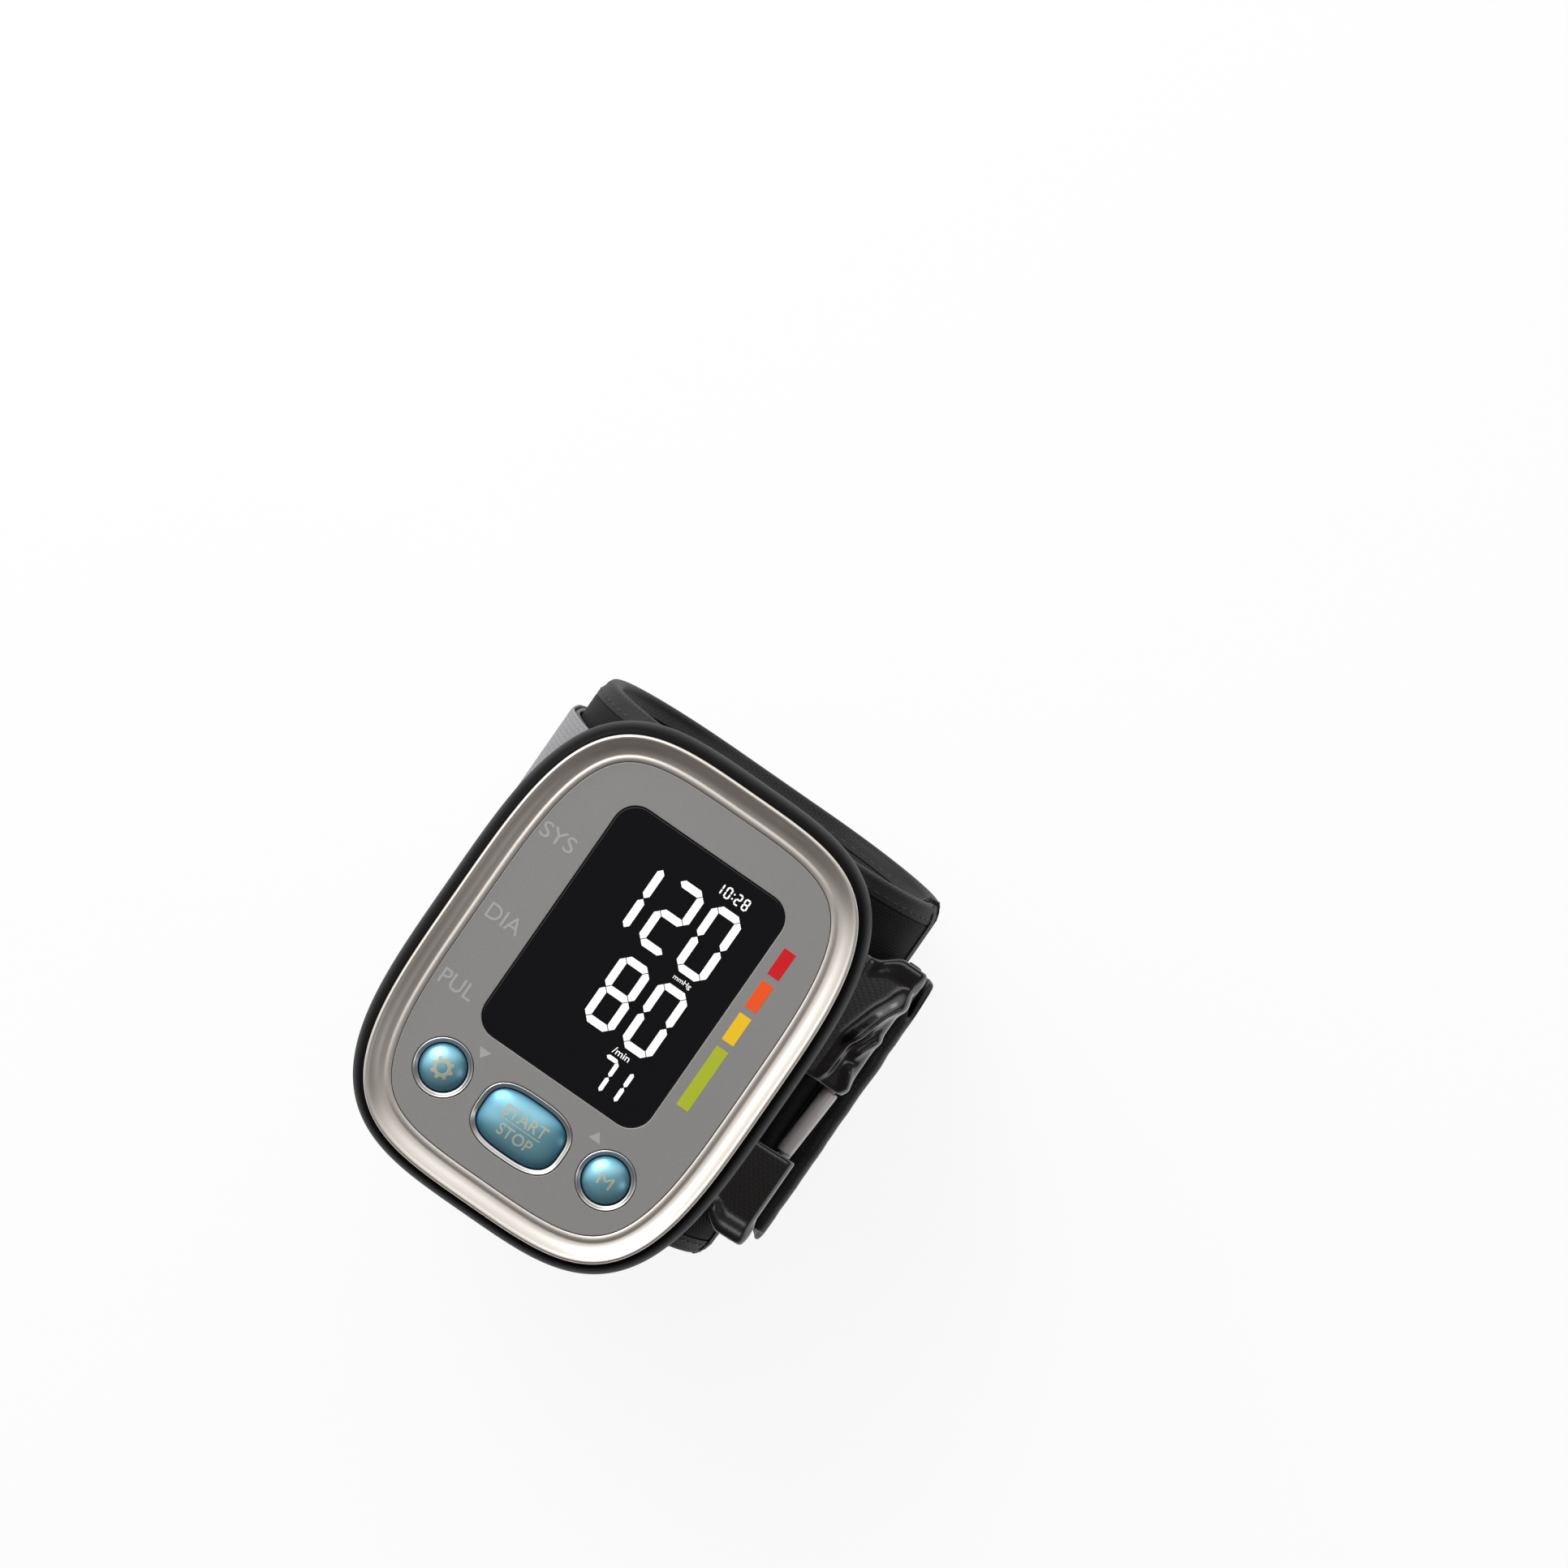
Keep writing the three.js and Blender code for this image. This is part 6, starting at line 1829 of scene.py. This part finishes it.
class MONITOR_OT_inside(bpy.types.Operator):
    """Gives the inner parts their finishes and makes the two cells"""

    bl_idname = "monitor.inside"
    bl_label = "Inner parts"

    def execute(self, context):
        """Assigns finishes to the solids that stay and turns the cells."""
        for name, (nodes, tone, roughness, metallic) in INSIDE.items():
            coat = grained(name, linear(*tone), roughness, fleck=0.16, scale=2200, relief=0.01, smudge=0.12,
                           shader_values={"Metallic": metallic})
            for node in nodes:
                materials = bpy.data.objects[node].data.materials
                materials.clear()
                materials.append(coat)
        for name, node, turned in (("cell_1", "battery_1", False), ("cell_2", "battery_2", True)):
            piece(name, self.cell(node, turned), finish("cell_dark_jacket"), [node])
        return {"FINISHED"}

    def cell(self, node, turned):
        """Dry cell with a rolled rim and a nub, its nub to the right unless it is turned."""
        low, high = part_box(node)
        middle, half = measured(node)
        nub = high.x - 0.8 * MM
        # Rows: end that the place is measured from, place in millimetres and share of the radius
        rows = ((low.x, 0, 0.02), (low.x, 0, 0.6), (low.x, 0.3, 0.62), (low.x, 0.3, 0.86), (low.x, 0, 0.9),
                (low.x, 0.1, 0.97), (low.x, 0.5, 1.0), (nub, -0.5, 1.0), (nub, -0.1, 0.97), (nub, 0, 0.9),
                (nub, -0.2, 0.6), (nub, 0, 0.36), (high.x, -0.15, 0.34), (high.x, 0, 0.28),
                (high.x, 0, 0.02))
        rings = []
        for end, step, share in rows:
            x = end + step * MM
            centre = Vector((low.x + high.x - x if turned else x, middle.y, middle.z))
            rings.append(hoop(centre, half.z * share, Y_WAY, Z_WAY, 48))
        return loft(node, rings, 40)


class MONITOR_OT_stage(bpy.types.Operator):
    """Makes the floor, the camera and the lamps"""

    bl_idname = "monitor.stage"
    bl_label = "Stage"

    def execute(self, context):
        """Sets the camera straight above and a large soft lamp to one side."""
        values = context.scene.monitor_stage
        context.scene.view_settings.view_transform = "Standard"
        camera = bpy.data.cameras.new("camera")
        camera.lens = values.lens
        camera.sensor_width = 36
        camera.clip_start = 0.01
        shown = placed("camera", camera)
        shown.location = values.camera
        shown.rotation_euler = (0, 0, values.roll)
        context.scene.camera = shown
        self.floor(values)
        self.lamp("soft_card", place=(-0.58, 0.38, 0.52), wide=0.6, tall=0.6, power=values.card_power)
        self.lamp("fill_card", place=(0.55, 0.1, 0.42), wide=0.12, tall=0.3, power=values.fill_power)
        self.sky(context, values)
        return {"FINISHED"}

    def floor(self, values):
        """Pale floor under the object; it looks near white and keeps the shadow."""
        size = 40.0
        depth = 0.5 * MM
        corners = [(x, y, -depth) for x, y in rectangle(-size, -size, size, size)]
        mesh = bpy.data.meshes.new("floor")
        mesh.from_pydata(corners, [], [(0, 1, 2, 3)])
        coat = grained("floor_pale", (0.88, 0.88, 0.875, 1), 0.9, fleck=0.02, scale=60, relief=0.0,
                       smudge=0.02, shader_values={})
        nodes = coat.node_tree.nodes
        bench = Bench(coat.node_tree)
        path = bench.add("ShaderNodeLightPath").outputs
        seen = bench.math("MAXIMUM", path["Is Camera Ray"], path["Is Glossy Ray"])
        seen = bench.math("MAXIMUM", seen, path["Is Transmission Ray"])
        white = bench.out("ShaderNodeEmission", {"Color": (1, 1, 1, 1), "Strength": 1.0})
        share = bench.math("MULTIPLY", seen, values.floor_white)
        plain = nodes["Principled BSDF"].outputs[0]
        mixed = bench.out("ShaderNodeMixShader", {0: share, 1: plain, 2: white})
        bench.fill(nodes["Material Output"], {"Surface": mixed})
        mesh.materials.append(coat)
        placed("floor", mesh)

    def lamp(self, name, place, wide, tall, power):
        """Soft lamp that looks at the middle of the object."""
        light = bpy.data.lights.new(name, "AREA")
        light.shape = "RECTANGLE"
        light.size = wide
        light.size_y = tall
        light.energy = power
        shown = placed(name, light)
        shown.location = place
        aim = Vector((0, 0, 0.05)) - Vector(place)
        shown.rotation_euler = aim.to_track_quat("-Z", "Y").to_euler()

    def sky(self, context, values):
        """Surrounding light that falls off from the lamp's side to the far side."""
        lamp_way = (-0.72, 0.69, 0.0)
        world = bpy.data.worlds.new("studio")
        context.scene.world = world
        world.use_nodes = True
        bench = Bench(world.node_tree)
        way = bench.out("ShaderNodeTexCoord", socket="Generated")
        lean = bench.out("ShaderNodeVectorMath", {0: way, 1: lamp_way}, "Value", operation="DOT_PRODUCT")
        share = bench.out("ShaderNodeMapRange", {
            "Value": lean, "From Min": 0.0, "From Max": 0.45}, interpolation_type="SMOOTHSTEP")
        strength = bench.out("ShaderNodeMix", {"Factor": share, 2: values.sky_dim, 3: values.sky_bright})
        tone = bench.out("ShaderNodeMix", {
            "Factor": share, 6: (1.0, 0.88, 0.83, 1), 7: (1.0, 1.0, 0.985, 1)}, 2, data_type="RGBA")
        bench.fill(world.node_tree.nodes["Background"], {"Strength": strength, "Color": tone})


class MONITOR_PT_panel(bpy.types.Panel):
    """Lists the pieces of the monitor"""

    bl_idname = "MONITOR_PT_panel"
    bl_label = "Monitor"
    bl_space_type = "VIEW_3D"
    bl_region_type = "UI"
    bl_category = "Monitor"

    def draw(self, context):
        """One button for each group of pieces."""
        for operator in OPERATORS:
            self.layout.operator(operator.bl_idname)


OPERATORS = (
    MONITOR_OT_stage,
    MONITOR_OT_housing,
    MONITOR_OT_lower_case,
    MONITOR_OT_front,
    MONITOR_OT_signs,
    MONITOR_OT_keys,
    MONITOR_OT_cuff,
    MONITOR_OT_strap,
    MONITOR_OT_ring,
    MONITOR_OT_inside,
)
SETTINGS = {
    "monitor_case": MonitorCase,
    "monitor_front": MonitorFront,
    "monitor_keys": MonitorKeys,
    "monitor_cuff": MonitorCuff,
    "monitor_strap": MonitorStrap,
    "monitor_colours": MonitorColours,
    "monitor_stage": MonitorStage,
}
CLASSES = tuple(SETTINGS.values()) + OPERATORS + (MONITOR_PT_panel,)


def register():
    """Adds the classes and their settings."""
    for item in CLASSES:
        bpy.utils.register_class(item)
    for name, item in SETTINGS.items():
        setattr(bpy.types.Scene, name, bpy.props.PointerProperty(type=item))


def unregister():
    """Takes the settings and classes away."""
    for name in SETTINGS:
        delattr(bpy.types.Scene, name)
    for item in reversed(CLASSES):
        bpy.utils.unregister_class(item)


def main():
    """Builds every piece."""
    register()
    bpy.ops.monitor.stage()
    bpy.ops.monitor.housing()
    bpy.ops.monitor.lower_case()
    bpy.ops.monitor.front()
    bpy.ops.monitor.signs()
    bpy.ops.monitor.keys()
    bpy.ops.monitor.cuff()
    bpy.ops.monitor.strap()
    bpy.ops.monitor.ring()
    bpy.ops.monitor.inside()


if __name__ == "__main__":
    main()
